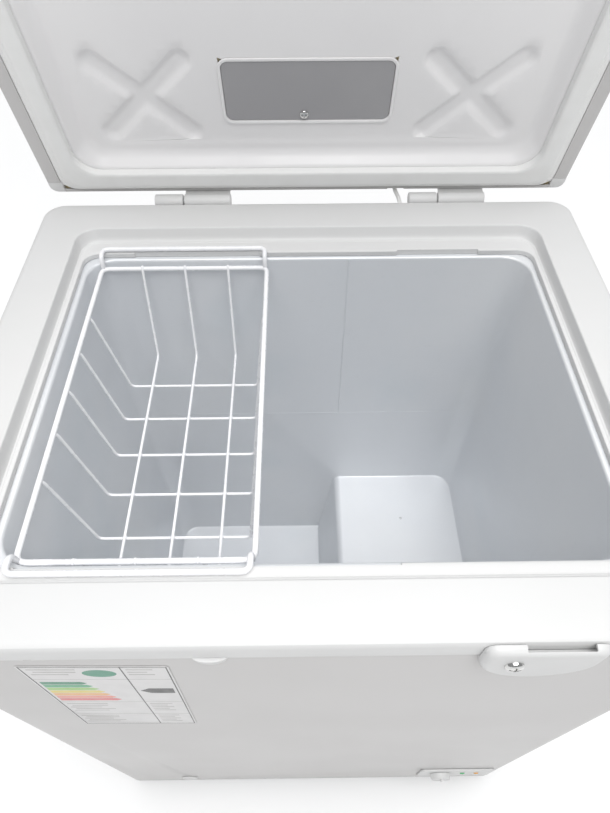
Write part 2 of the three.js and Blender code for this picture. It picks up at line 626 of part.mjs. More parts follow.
// ---------------------------------------------------------------- lid
/** The outside of the lid, set inward by `inset`, with its rounded top edge. */
function lidSolid(inset, bottom, top) {
  const ring = (more, z) => ({
    x: LID.x - inset - more,
    front: LID.front + inset + more,
    back: LID.back - inset - more,
    radius: 9 - inset - more * 0.4,
    z,
  });
  const crown = [ring(0, top - 10), ring(2, top - 4.5), ring(7, top - 1), ring(15, top)];
  return stackLoft([ring(0, bottom), ...crown]);
}

/** The corner of the rim that a moulded cap fills; `grow` widens it. */
function capRoom(side, grow) {
  const [inner, outer] = [291.5 - grow, 312];
  const [low, high] = side === "left" ? [-outer, -inner] : [inner, outer];
  return block([low, 249.5 - grow, LID.rim - 2], [high, 268, LID.rim + 12 + grow]);
}

function addLidShell() {
  const { wall, rim, top } = LID;
  const opening = pillar(-HEM.x, HEM.front, HEM.x, HEM.back, 3, rim - 2, rim + wall + 1);
  const leadHole = rod(3.4, 12, [LEAD_EXIT.x - 6, LID.back, LEDGE_Z + 30], "y");
  const outside = lidSolid(0, rim, top);
  add("lid_shell", cut(outside, lidSolid(wall, rim + wall, top - wall), opening, leadHole,
    capRoom("left", GAP), capRoom("right", GAP)), WHITE_STEEL, lidFrame);
  for (const side of ["left", "right"]) {
    const corner = toGeometry(toSolid(lidSolid(0, rim, top)).intersect(toSolid(capRoom(side, 0))));
    add(`lid_corner_cap_${side}`, corner, WHITE_PLASTIC, lidFrame);
  }
}

/** The dished space of the lid liner, grown by `grow`, from below the rim up to the panel. */
function dishSolid(grow, low) {
  const lift = (LID_PANEL.z - LID.rim - 2);
  const drop = (LID.rim + 2 - low) / lift;
  const mix = (key) => DISH[key] + (DISH[key] - LID_PANEL[key]) * drop;
  const ring = (x, front, back, radius, z) => ({
    x: x + grow, front: front - grow, back: back + grow, radius: radius + grow, z,
  });
  return stackLoft([
    ring(mix("x"), mix("front"), mix("back"), 30, low),
    ring(LID_PANEL.x, LID_PANEL.front, LID_PANEL.back, 26, LID_PANEL.z + grow),
  ]);
}

/** The two crossed ribs pressed into each half of the lid panel. */
function crossRibs(half, low, high) {
  const { x, y, reach, angle } = CROSS;
  const bars = [];
  for (const side of [-1, 1]) {
    for (const turn of [-angle, angle]) {
      const bar = pillar(-reach - half, -half, reach + half, half, half * 0.9, low, high, 2);
      bars.push(bar.rotateZ(turn).translate(side * x, y, 0));
    }
  }
  return bars;
}

const lampRoom = (grow, low, high) => pillar(-LAMP.half - grow, LAMP.front - grow, LAMP.half + grow,
  LAMP.rear + grow, LAMP.radius + grow, low, high);

function addLidLiner() {
  const { wall, z } = LID_PANEL;
  const flangeLow = LID.rim + LID.wall + GAP;
  const flange = pillar(-305.8, -248.8, 305.8, 261.3, 17, flangeLow, flangeLow + wall);
  const bosses = crossRibs(CROSS.half + wall, z, z + CROSS.depth + wall);
  const grooves = crossRibs(CROSS.half, z - 4, z + CROSS.depth);
  const skin = join(flange, dishSolid(wall, flangeLow), ...bosses);
  add("lid_liner", cut(skin, dishSolid(0, LID.rim - 4), ...grooves, lampRoom(GAP, z - 10, z + 20),
    capRoom("left", 2 * GAP), capRoom("right", 2 * GAP)), LID_WHITE, lidFrame);
}

function addLidFoam() {
  const { wall, z } = LID_PANEL;
  const low = LID.rim + LID.wall + GAP + wall + GAP;
  const filling = lidSolid(LID.wall + GAP, low, LID.top - LID.wall - GAP);
  const ribs = [-1, 1].map((side) => block(
    [side * CROSS.x - CROSS.room, CROSS.y - CROSS.room, z],
    [side * CROSS.x + CROSS.room, CROSS.y + CROSS.room, z + CROSS.depth + wall + GAP],
  ));
  const leadHole = rod(3.4, 30, [LEAD_EXIT.x - 6, LID.back, LEDGE_Z + 30], "y");
  add("lid_foam", cut(filling, dishSolid(wall + GAP, low - 4), ...ribs, leadHole,
    lampRoom(2 * GAP, z - 10, z + LAMP.depth + GAP), capRoom("left", 2 * GAP), capRoom("right", 2 * GAP)),
  FOAM, lidFrame);
}

function addGasket() {
  const base = LID.rim + LID.wall;
  const ring = (x, front, back, radius, z) => ({ x, front, back, radius, z });
  add("lid_gasket", frameLoft([
    ring(HEM.x - 0.5, HEM.front + 0.5, HEM.back - 0.5, 16, base),
    ring(HEM.x - 0.5, HEM.front + 0.5, HEM.back - 0.5, 16, base - 3),
    ring(281, -225, 250, 20, SEAL_FACE + 0.6),
    ring(279, -223, 248, 20, SEAL_FACE),
    ring(267, -210, 234, 22, SEAL_FACE),
    ring(264.5, -207.8, 232, 24, SEAL_FACE + 1.2),
    ring(263.5, -207, 231.3, 24, base - 2),
    ring(263.5, -207, 231.3, 24, base),
  ]), SEAL_WHITE, lidFrame);
}

function addLamp() {
  const z = LID_PANEL.z - 0.4;
  const tray = cut(lampRoom(0, z, z + LAMP.depth), lampRoom(-2, z - 5, z + LAMP.depth - 2));
  add("lamp_housing", tray, LID_WHITE, lidFrame);
  add("lamp_cover", lampRoom(-2 - GAP, z + 0.6, z + 2.8), GREY_LENS, lidFrame);
  const board = block([-60, LAMP.front + 26, z + 11], [60, LAMP.front + 46, z + 12.6]);
  add("led_board", board, BOARD, lidFrame);
  const head = [[0, -2.1], [3, -1.8], [5, -0.8], [5, 0], [0, 0]];
  const screw = turned(head, [LAMP.screwX, LAMP.rear - 9.5, z + 0.3], 16);
  add("lamp_cover_screw", screw, CHROME, lidFrame);
}

// ---------------------------------------------------------------- handle and lock
function addHandle() {
  const { left, right, front, bottom, top } = HANDLE;
  const face = LID.front - GAP;
  const body = carried(roundedShape(left, bottom, right, top, 9), front, face, 5);
  const grip = block([left + 7, front + 6, bottom - 5], [left + 60, face - 8, bottom + 26]);
  const camRoom = block([LOCK.x - LOCK.reach - 4, -257, bottom - 5], [right - 5, -253, LOCK.z + 12]);
  const barrel = rod(LOCK.radius + 0.4, 40, [LOCK.x, -276.5, LOCK.z], "y", 20);
  add("lid_handle", cut(body, grip, camRoom, barrel), WHITE_PLASTIC, lidFrame);
}

function addLock() {
  const { x, z, radius, reach } = LOCK;
  const barrel = rod(radius, 26.5, [x, -269.7, z], "y", 20);
  const keyway = block([x - 0.9, -290, z - 4], [x + 0.9, -279, z + 4]);
  add("lock_cylinder", cut(barrel, keyway), CHROME, lidFrame);
  const outline = new THREE.Shape();
  outline.moveTo(-4, 0);
  outline.lineTo(-4, -reach);
  outline.lineTo(12, -reach);
  outline.lineTo(12, -reach + 5);
  outline.lineTo(4, -reach + 5);
  outline.lineTo(4, 0);
  outline.absarc(0, 0, 6.5, Math.PI * 0.2, Math.PI * 0.8, false);
  const cam = carried(outline, -1, 1).rotateY(Math.PI / 2).translate(x, -255, z);
  add("lock_cam", cam, GALVANISED, lidFrame);
}

// ---------------------------------------------------------------- basket
function addBasket() {
  const { left, right, front, back, z, floor, inLeft, inRight, inDeep, rest } = BASKET;
  const rim = wire([[left + 30, front, z], [left, front, z], [left, back, z], [right, back, z],
    [right, front, z], [left + 28, front, z]], RIM_WIRE, { bend: 9 });
  const hanger = (y, far) => wire([
    [left + 10, y, z], [left + 10, y, rest], [left + 10, far, rest],
    [right - 10, far, rest], [right - 10, y, rest], [right - 10, y, z],
  ], RIM_WIRE, { bend: 6 });
  const hangers = [hanger(front, BASKET.restFront), hanger(back, BASKET.restBack)];
  const long = LONG_WIRES.map((x) => wire([
    [x, front, z], [x, front + inDeep, floor], [x, back - inDeep, floor], [x, back, z],
  ], MESH_WIRE, { bend: 8, sides: 5 }));
  const under = floor - MESH_WIRE;
  const cross = CROSS_WIRES.map((at) => wire([
    [left, at, z], [left + inLeft, at, under], [right - inRight, at, under], [right, at, z],
  ], MESH_WIRE, { bend: 8, sides: 6 }));
  add("wire_basket", join(rim, ...hangers, ...long, ...cross), WHITE_WIRE);
}

addShell();
addRearPanel();
addBasePan();
addFeet();
addCollar();
addLiner();
addFoam();
addEvaporator();
addCondenser();
addDrain();
addCompressor();
addPipes();
addVents();
addControls();
addCatch();
addApronClip();
addLabel();
addHinge("left", HINGE_AT.left);
addHinge("right", HINGE_AT.right);
addLampLead();
addLidShell();
addLidLiner();
addLidFoam();
addGasket();
addLamp();
addHandle();
addLock();
addBasket();

// The origin is the middle of the object's footprint at rest, on the floor.
freezer.updateMatrixWorld(true);
const extent = new THREE.Box3().setFromObject(freezer, true);
freezer.position.set(-(extent.min.x + extent.max.x) / 2, -(extent.min.y + extent.max.y) / 2, -extent.min.z);

export default freezer;
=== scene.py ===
# Looks of the chest freezer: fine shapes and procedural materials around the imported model.
import json
import math

import bmesh
import bpy
import numpy as np
from mathutils import Matrix, Vector
from mathutils.geometry import delaunay_2d_cdt


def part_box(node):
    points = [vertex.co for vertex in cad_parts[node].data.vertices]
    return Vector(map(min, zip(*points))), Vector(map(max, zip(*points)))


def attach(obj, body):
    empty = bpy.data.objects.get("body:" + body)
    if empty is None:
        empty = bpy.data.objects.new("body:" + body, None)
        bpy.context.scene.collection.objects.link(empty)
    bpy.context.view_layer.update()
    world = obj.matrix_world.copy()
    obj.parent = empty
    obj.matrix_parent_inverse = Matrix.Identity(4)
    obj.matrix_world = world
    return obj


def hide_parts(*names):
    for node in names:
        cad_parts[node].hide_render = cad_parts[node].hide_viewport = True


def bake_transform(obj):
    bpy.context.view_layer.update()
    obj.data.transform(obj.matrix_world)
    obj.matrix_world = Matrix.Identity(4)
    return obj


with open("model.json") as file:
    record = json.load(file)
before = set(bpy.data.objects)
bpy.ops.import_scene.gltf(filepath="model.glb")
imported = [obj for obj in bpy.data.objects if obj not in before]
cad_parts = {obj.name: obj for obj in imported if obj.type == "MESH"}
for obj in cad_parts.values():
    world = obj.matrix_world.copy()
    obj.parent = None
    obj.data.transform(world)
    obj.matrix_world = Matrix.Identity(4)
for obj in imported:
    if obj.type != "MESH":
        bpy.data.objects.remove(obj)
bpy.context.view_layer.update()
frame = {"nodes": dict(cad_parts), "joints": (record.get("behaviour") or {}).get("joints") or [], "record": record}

# ---------------------------------------------------------------- places and driving sizes
# Shapes are drawn in millimetres from the middle of the mouth, at the height of its ledge.
# Pieces of the lid are drawn where they lie when it is closed, and are then turned open.
MM = 0.001
COLLAR_FRONT, COLLAR_TOP = -252, 14.3
collar_low, collar_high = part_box("top_frame")
LEDGE = Vector((0, collar_low.y - COLLAR_FRONT * MM, collar_high.z - COLLAR_TOP * MM))
CABINET = Matrix.Translation(LEDGE) @ Matrix.Scale(MM, 4)

LID_JOINT = next(joint for joint in frame["joints"] if joint["name"] == "lid_hinge")
LID_OPEN = math.radians(LID_JOINT["range_deg"][0])
HINGE_POINT = Vector(LID_JOINT["pos_m"])
LID = (Matrix.Translation(HINGE_POINT) @ Matrix.Rotation(LID_OPEN, 4, "X")
       @ Matrix.Translation(-HINGE_POINT) @ CABINET)
HINGE_Y, HINGE_Z = (HINGE_POINT.y - LEDGE.y) / MM, (HINGE_POINT.z - LEDGE.z) / MM
HINGES = {"left": -138, "right": 167}
HINGE_HALF, HINGE_SPLIT, KNUCKLE = 45.5, -11, 8.2

TANK_X, TANK_Y, TANK_FLOOR, TANK_TOP, TANK_CORNER = 249, 183, -681, -7, 28
STEP_FOOT, STEP_EDGE, STEP_TOP = 22, 47, -489
MOUTH_X, MOUTH_Y = 254.5, 186.8
PANEL_Z, RIM_Z, LID_TOP = 38, 21.8, 68
LAMP_X, LAMP_FRONT, LAMP_REAR = 90, 108.5, 180.5
CROSS_X, CROSS_Y = 172, 151


# ---------------------------------------------------------------- shapes
def rounded(left, right, front, back, radius, z, steps=7):
    """The points of a rounded rectangle, always the same number of them."""
    points = []
    for quarter, (x, y) in enumerate([(right, back), (left, back), (left, front), (right, front)]):
        centre_x = x - math.copysign(radius, x - (left + right) / 2)
        centre_y = y - math.copysign(radius, y - (front + back) / 2)
        for step in range(steps + 1):
            angle = (quarter + step / steps) * math.pi / 2
            points.append((centre_x + radius * math.cos(angle), centre_y + radius * math.sin(angle), z))
    return points


def corners(x0, z0, x1, z1, radius, steps=5):
    """A rounded rectangle as an outline in X and Z."""
    return [point[:2] for point in rounded(x0, x1, z0, z1, radius, 0, steps)]


def even(x, front, back, radius, z):
    """A station of a loft that is as wide to the left as to the right."""
    return (-x, x, front, back, radius, z)


def softened(stations, radii, closed=False, steps=4):
    """Rounds the corners between stations, each with its own radius."""
    corners = [np.array(station, float) for station in stations]
    chain = []
    for i, corner in enumerate(corners):
        if radii[i] <= 0 or (not closed and i in (0, len(corners) - 1)):
            chain.append(corner)
            continue
        ends = []
        for other in (corners[i - 1], corners[(i + 1) % len(corners)]):
            reach = math.hypot(other[1] - corner[1], other[5] - corner[5])
            ends.append(corner + (other - corner) * min(0.5, radii[i] / max(reach, 1e-6)))
        for t in np.linspace(0, 1, steps + 1):
            chain.append((1 - t) ** 2 * ends[0] + 2 * t * (1 - t) * corner + t * t * ends[1])
    return chain


def loft(stations, closed=False, steps=7):
    """Skin through rounded rectangles: a closed frame, or a stack with flat ends."""
    return skin([rounded(*station, steps=steps) for station in stations], closed)


def skin(rings, closed=False):
    """Faces between rings of as many points each, with flat ends unless they close on themselves."""
    count = len(rings[0])
    points = [point for ring in rings for point in ring]
    faces = []
    for ring in range(len(rings) if closed else len(rings) - 1):
        after = (ring + 1) % len(rings)
        for i in range(count):
            j = (i + 1) % count
            faces.append((ring * count + i, ring * count + j, after * count + j, after * count + i))
    if not closed:
        faces.append(tuple(range(count)))
        faces.append(tuple(range(len(points) - count, len(points))))
    return points, faces


def bent(points, bend, steps=5):
    """A path along straight runs, with a curve at each corner."""
    corners = [Vector(point) for point in points]
    path = [corners[0]]
    for before, corner, after in zip(corners, corners[1:], corners[2:]):
        start = corner + (before - corner).normalized() * min(bend, (before - corner).length * 0.49)
        end = corner + (after - corner).normalized() * min(bend, (after - corner).length * 0.49)
        for step in range(steps + 1):
            t = step / steps
            path.append(start * (1 - t) ** 2 + corner * (2 * t * (1 - t)) + end * t * t)
    path.append(corners[-1])
    return path


def tube(path, radius, sides=12):
    """A round wire along a path, with rounded ends."""
    path = [Vector(point) for point in path]
    heads = [(path[0], path[1]), (path[-1], path[-2])]
    tips = [end + (end - inner).normalized() * radius * 0.45 for end, inner in heads]
    path = [tips[0], *path, tips[1]]
    sizes = [radius * 0.55] + [radius] * (len(path) - 2) + [radius * 0.55]
    points, faces = [], []
    direction = (path[1] - path[0]).normalized()
    normal = direction.orthogonal().normalized()
    for i, (centre, size) in enumerate(zip(path, sizes)):
        heading = (path[min(i + 1, len(path) - 1)] - path[max(i - 1, 0)]).normalized()
        normal = (normal - heading * normal.dot(heading)).normalized()
        side = heading.cross(normal)
        for k in range(sides):
            angle = 2 * math.pi * k / sides
            points.append(centre + (normal * math.cos(angle) + side * math.sin(angle)) * size)
    for i in range(len(path) - 1):
        for k in range(sides):
            n = (k + 1) % sides
            faces.append((i * sides + k, i * sides + n, (i + 1) * sides + n, (i + 1) * sides + k))
    faces.append(tuple(range(sides)))
    faces.append(tuple(range(len(points) - sides, len(points))))
    return points, faces


def turned(profile, at, along="z", sides=32):
    """A turned part from [radius, height] points that start and end on its axis."""
    points, faces, rings = [], [], []
    for radius, height in profile:
        start = len(points)
        for k in range(sides if radius > 0 else 1):
            angle = 2 * math.pi * k / sides
            x, y, z = radius * math.cos(angle), radius * math.sin(angle), height
            turn = {"z": (x, y, z), "y": (x, -z, y), "x": (z, x, y)}[along]
            points.append(tuple(a + b for a, b in zip(turn, at)))
        rings.append(range(start, len(points)))
    for low, high in zip(rings, rings[1:]):
        for k in range(sides):
            n = (k + 1) % sides
            a, b, c, d = low[k % len(low)], low[n % len(low)], high[n % len(high)], high[k % len(high)]
            faces.append(tuple(dict.fromkeys((a, b, c, d))))
    return points, faces


def block(low, high):
    """A box between two corners."""
    points = [(x, y, z) for z in (low[2], high[2]) for y in (low[1], high[1]) for x in (low[0], high[0])]
    faces = [(0, 2, 3, 1), (4, 5, 7, 6), (0, 1, 5, 4), (2, 6, 7, 3), (0, 4, 6, 2), (1, 3, 7, 5)]
    return points, faces


def carried(outline, y0, y1):
    """An outline drawn in X and Z, carried from y0 to y1."""
    count = len(outline)
    points = [(x, y, z) for y in (y0, y1) for x, z in outline]
    faces = [(i, (i + 1) % count, count + (i + 1) % count, count + i) for i in range(count)]
    return points, [*faces, tuple(range(count)), tuple(range(count, 2 * count))]


def together(*shapes):
    """Several shapes as one."""
    points, faces = [], []
    for shape_points, shape_faces in shapes:
        faces.extend(tuple(i + len(points) for i in face) for face in shape_faces)
        points.extend(shape_points)
    return points, faces


def solid(name, shape, place=CABINET):
    """A linked object with outward normals, its points turned into the row frame."""
    mesh = bpy.data.meshes.new(name)
    mesh.from_pydata([tuple(point) for point in shape[0]], [], shape[1])
    mesh.transform(place)
    work = bmesh.new()
    work.from_mesh(mesh)
    bmesh.ops.recalc_face_normals(work, faces=work.faces)
    work.to_mesh(mesh)
    work.free()
    thing = bpy.data.objects.new(name, mesh)
    bpy.context.scene.collection.objects.link(thing)
    return thing


def settled(thing, angle=32):
    """Applies the modifiers and shades smooth between edges sharper than the angle."""
    graph = bpy.context.evaluated_depsgraph_get()
    mesh = bpy.data.meshes.new_from_object(thing.evaluated_get(graph), depsgraph=graph)
    thing.modifiers.clear()
    thing.data = mesh
    mesh.name = thing.name
    mesh.shade_smooth()
    mesh.set_sharp_from_angle(angle=math.radians(angle))
    return thing


def combined(thing, shapes, operation="DIFFERENCE", place=CABINET):
    """Cuts shapes from a solid, or joins them to it."""
    for shape in shapes:
        other = solid("tool", shape, place)
        modifier = thing.modifiers.new("combine", "BOOLEAN")
        modifier.operation = operation
        modifier.solver = "EXACT"
        modifier.object = other
        settled(thing)
        bpy.data.objects.remove(other)
    return thing


def edged(thing, width, segments=3, angle=35):
    """Rounds the edges that are sharper than the angle; the width is in millimetres."""
    modifier = thing.modifiers.new("edges", "BEVEL")
    modifier.width = width * MM
    modifier.segments = segments
    modifier.limit_method = "ANGLE"
    modifier.angle_limit = math.radians(angle)
    modifier.use_clamp_overlap = True
    return settled(thing)


def worn(thing, material, body, slot, *nodes):
    """Gives a piece its material, its body and the nodes that it stands for; the record slot that it is passed is
    not used.
    """
    thing.data.materials.clear()
    thing.data.materials.append(material)
    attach(thing, body)
    if nodes:
        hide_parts(*nodes)
    return thing


# ---------------------------------------------------------------- materials
class Finish:
    """A procedural surface: colour, roughness and relief from patterns in the object's own space."""

    def __init__(self, name, colour, roughness, metallic=0.0, coat=0.0, specular=0.5):
        self.material = bpy.data.materials.new(name)
        self.material.use_nodes = True
        self.tree = self.material.node_tree
        self.shader = self.tree.nodes["Principled BSDF"]
        self.shader.inputs["Metallic"].default_value = metallic
        self.shader.inputs["Coat Weight"].default_value = coat
        self.shader.inputs["Coat Roughness"].default_value = 0.12
        self.shader.inputs["Specular IOR Level"].default_value = specular
        self.space = self.tree.nodes.new("ShaderNodeTexCoord").outputs["Object"]
        self.colour = (*colour, 1)
        self.roughness = roughness
        self.shader.inputs["Roughness"].default_value = roughness

    def link(self, output, node_input):
        self.tree.links.new(output, node_input)

    def pattern(self, kind, scale, stretch=(1, 1, 1), detail=3):
        """A value from 0 to 1 that varies in space; the scale is in repeats per metre."""
        mapping = self.tree.nodes.new("ShaderNodeMapping")
        mapping.inputs["Scale"].default_value = stretch
        self.link(self.space, mapping.inputs["Vector"])
        if kind == "cells":
            node = self.tree.nodes.new("ShaderNodeTexVoronoi")
            output = node.outputs["Distance"]
        elif kind == "flakes":
            node = self.tree.nodes.new("ShaderNodeTexVoronoi")
            output = node.outputs["Color"]
        elif kind == "bands":
            node = self.tree.nodes.new("ShaderNodeTexWave")
            output = node.outputs["Fac"]
        else:
            node = self.tree.nodes.new("ShaderNodeTexNoise")
            node.inputs["Detail"].default_value = detail
            output = node.outputs["Fac"]
        node.inputs["Scale"].default_value = scale
        self.link(mapping.outputs["Vector"], node.inputs["Vector"])
        return output

    def spread(self, value, low, high, to_low, to_high):
        node = self.tree.nodes.new("ShaderNodeMapRange")
        node.interpolation_type = "SMOOTHSTEP"
        for name, number in (("From Min", low), ("From Max", high), ("To Min", to_low), ("To Max", to_high)):
            node.inputs[name].default_value = number
        self.link(value, node.inputs["Value"])
        return node.outputs["Result"]

    def tint(self, colour, value):
        """Mixes in a second colour where the value is high."""
        mix = self.tree.nodes.new("ShaderNodeMix")
        mix.data_type = "RGBA"
        self.link(value, mix.inputs["Factor"])
        if isinstance(self.colour, tuple):
            mix.inputs["A"].default_value = self.colour
        else:
            self.link(self.colour, mix.inputs["A"])
        mix.inputs["B"].default_value = (*colour, 1)
        self.colour = mix.outputs["Result"]
        return self

    def mottled(self, colour, scale, amount, low=0.4, high=0.7, stretch=(1, 1, 1)):
        value = self.pattern("noise", scale, stretch, 4)
        return self.tint(colour, self.spread(value, low, high, 0, amount))

    def dusty(self, colour, bottom, top, amount):
        """Dust that thins out from one height to another, in metres."""
        split = self.tree.nodes.new("ShaderNodeSeparateXYZ")
        self.link(self.space, split.inputs["Vector"])
        height = self.spread(split.outputs["Z"], bottom, top, amount, 0)
        patches = self.spread(self.pattern("noise", 9, (1, 1, 1), 5), 0.3, 0.7, 0.25, 1)
        both = self.tree.nodes.new("ShaderNodeMath")
        both.operation = "MULTIPLY"
        self.link(height, both.inputs[0])
        self.link(patches, both.inputs[1])
        return self.tint(colour, both.outputs["Value"])

    def uneven(self, scale, amount, stretch=(1, 1, 1)):
        """Roughness that varies in patches around its mean."""
        value = self.pattern("noise", scale, stretch, 4)
        low, high = self.roughness - amount, self.roughness + amount
        self.link(self.spread(value, 0.3, 0.7, low, high), self.shader.inputs["Roughness"])
        return self

    def relief(self, kind, scale, height, stretch=(1, 1, 1), detail=3):
        """Bumps of a height in millimetres, laid over any earlier relief."""
        bump = self.tree.nodes.new("ShaderNodeBump")
        bump.inputs["Distance"].default_value = height * MM
        self.link(self.pattern(kind, scale, stretch, detail), bump.inputs["Height"])
        socket = self.shader.inputs["Normal"]
        if socket.links:
            self.link(socket.links[0].from_socket, bump.inputs["Normal"])
        self.link(bump.outputs["Normal"], socket)
        return self

    def done(self):
        self.link(self.colour, self.shader.inputs["Base Color"])
        return self.material


def white_steel():
    made = Finish("white_steel", (0.55, 0.538, 0.533), 0.42, coat=0.2)
    made.mottled((0.527, 0.52, 0.513), 3, 0.5).dusty((0.52, 0.50, 0.47), 0.0, 0.16, 0.3)
    return made.uneven(8, 0.03).relief("noise", 60, 0.012).done()


def white_plastic():
    made = Finish("white_plastic", (0.69, 0.69, 0.688), 0.46)
    made.mottled((0.665, 0.665, 0.657), 5, 0.5).dusty((0.56, 0.54, 0.50), 0.0, 0.12, 0.3)
    return made.uneven(25, 0.05).relief("noise", 1500, 0.003).relief("noise", 40, 0.015).done()


def lid_liner_plastic():
    made = Finish("lid_liner_plastic", (0.86, 0.85, 0.85), 0.38)
    made.mottled((0.82, 0.81, 0.815), 4, 0.5)
    return made.uneven(18, 0.08).relief("noise", 1100, 0.003).relief("noise", 14, 0.15).done()


def tank_aluminium():
    made = Finish("tank_aluminium", (0.755, 0.773, 0.797), 0.36, metallic=0.25)
    made.mottled((0.80, 0.81, 0.82), 3.5, 0.8).mottled((0.69, 0.73, 0.76), 6, 0.6, 0.5, 0.8)
    made.mottled((0.66, 0.68, 0.70), 160, 0.2, 0.6, 0.8)
    return made.uneven(10, 0.07).relief("cells", 380, 0.008).relief("noise", 9, 0.25).done()


def seal_pvc():
    made = Finish("seal_pvc", (0.84, 0.84, 0.83), 0.55)
    made.mottled((0.78, 0.775, 0.76), 40, 0.35)
    return made.uneven(60, 0.08).relief("noise", 900, 0.012).done()


def lamp_lens():
    made = Finish("lamp_lens", (0.36, 0.355, 0.365), 0.42)
    made.mottled((0.41, 0.405, 0.41), 7, 0.8)
    return made.uneven(50, 0.06).relief("cells", 900, 0.03).done()


def foam():
    made = Finish("foam", (0.80, 0.70, 0.46), 0.9)
    made.mottled((0.70, 0.58, 0.34), 40, 0.6)
    return made.relief("cells", 700, 0.2).done()


def zinc_steel():
    made = Finish("zinc_steel", (0.60, 0.61, 0.62), 0.38, metallic=1.0)
    made.tint((0.50, 0.52, 0.54), made.spread(made.pattern("flakes", 90), 0.2, 0.8, 0, 0.8))
    made.dusty((0.42, 0.40, 0.37), 0.0, 0.12, 0.4)
    return made.uneven(45, 0.12).relief("noise", 300, 0.01).done()


def copper_tube():
    made = Finish("copper_tube", (0.72, 0.38, 0.22), 0.32, metallic=1.0)
    made.mottled((0.40, 0.22, 0.14), 30, 0.6)
    return made.uneven(60, 0.1).relief("noise", 500, 0.01).done()


def black_steel():
    made = Finish("black_steel", (0.018, 0.018, 0.02), 0.35, coat=0.3)
    made.mottled((0.09, 0.085, 0.08), 16, 0.5)
    return made.uneven(30, 0.1).relief("noise", 350, 0.03).done()


def black_plastic():
    made = Finish("black_plastic", (0.022, 0.022, 0.025), 0.55)
    made.mottled((0.08, 0.078, 0.075), 22, 0.5)
    return made.uneven(50, 0.1).relief("noise", 1300, 0.02).done()


def rubber():
    made = Finish("rubber", (0.02, 0.02, 0.02), 0.8)
    made.mottled((0.07, 0.068, 0.065), 40, 0.5)
    return made.relief("noise", 900, 0.03).done()


def bright_steel():
    made = Finish("bright_steel", (0.72, 0.72, 0.71), 0.18, metallic=1.0)
    made.mottled((0.45, 0.45, 0.45), 400, 0.4)
    return made.uneven(500, 0.08).relief("noise", 1400, 0.006, (1, 6, 1)).done()


def coated_wire():
    made = Finish("coated_wire", (0.93, 0.93, 0.945), 0.30, coat=0.3)
    made.mottled((0.84, 0.85, 0.88), 60, 0.5)
    return made.uneven(80, 0.06).relief("noise", 260, 0.05).done()


def circuit_board():
    made = Finish("circuit_board", (0.72, 0.75, 0.70), 0.45)
    made.mottled((0.60, 0.64, 0.58), 120, 0.5)
    return made.relief("noise", 700, 0.01).done()


def lens(name, colour):
    made = Finish(name, colour, 0.12, coat=0.5)
    made.mottled(tuple(0.6 * part for part in colour), 300, 0.4)
    return made.relief("cells", 900, 0.03).done()


def printed(name, colour, roughness=0.45):
    """Paper or ink of the label."""
    made = Finish(name, colour, roughness, coat=0.15)
    made.mottled(tuple(0.92 * part for part in colour), 60, 0.5)
    return made.uneven(70, 0.06).relief("noise", 700, 0.004).done()


MADE = {
    "white_steel": white_steel(), "white_plastic": white_plastic(),
    "lid_liner_plastic": lid_liner_plastic(), "tank_aluminium": tank_aluminium(),
    "seal_pvc": seal_pvc(), "lamp_lens": lamp_lens(), "foam": foam(), "zinc_steel": zinc_steel(),
    "copper_tube": copper_tube(), "black_steel": black_steel(), "black_plastic": black_plastic(),
    "rubber": rubber(), "bright_steel": bright_steel(), "coated_wire": coated_wire(),
    "circuit_board": circuit_board(), "label_paper": printed("label_paper", (0.70, 0.69, 0.69)),
    "green_lens": lens("green_lens", (0.05, 0.42, 0.14)),
    "amber_lens": lens("amber_lens", (0.75, 0.36, 0.05)),
}


# ---------------------------------------------------------------- CAD nodes that stay
def even_shading():
    """Modifier nodes that drop stored normals and shade smooth between sharp edges."""
    tree = bpy.data.node_groups.new("even_shading", "GeometryNodeTree")
    tree.interface.new_socket("Geometry", in_out="INPUT", socket_type="NodeSocketGeometry")
    tree.interface.new_socket("Geometry", in_out="OUTPUT", socket_type="NodeSocketGeometry")
    start = tree.nodes.new("NodeGroupInput")
    end = tree.nodes.new("NodeGroupOutput")
    drop = tree.nodes.new("GeometryNodeRemoveAttribute")
    drop.inputs["Name"].default_value = "custom_normal"
    smooth = tree.nodes.new("GeometryNodeSetShadeSmooth")
    sharp = tree.nodes.new("GeometryNodeSetShadeSmooth")
    sharp.domain = "EDGE"
    sharp.inputs["Shade Smooth"].default_value = False
    angle = tree.nodes.new("GeometryNodeInputMeshEdgeAngle")
    limit = tree.nodes.new("FunctionNodeCompare")
    limit.data_type = "FLOAT"
    limit.operation = "GREATER_THAN"
    limit.inputs["B"].default_value = math.radians(33)
    tree.links.new(start.outputs[0], drop.inputs["Geometry"])
    tree.links.new(drop.outputs["Geometry"], smooth.inputs["Geometry"])
    tree.links.new(smooth.outputs["Geometry"], sharp.inputs["Geometry"])
    tree.links.new(angle.outputs["Unsigned Angle"], limit.inputs["A"])
    tree.links.new(limit.outputs["Result"], sharp.inputs["Selection"])
    tree.links.new(sharp.outputs["Geometry"], end.inputs[0])
    return tree


EDGE_WIDTHS = {
    "outer_shell": 0.3, "rear_panel": 0.3, "base_pan": 0.4, "bay_cover": 0.5, "side_grille": 0.7,
    "control_panel": 0.8, "thermostat_knob": 0.8, "lid_handle": 2.0, "lid_corner_cap_left": 0.6,
    "lid_corner_cap_right": 0.6, "compressor": 1.0, "start_relay_cover": 2.0, "lamp_housing": 0.8,
}


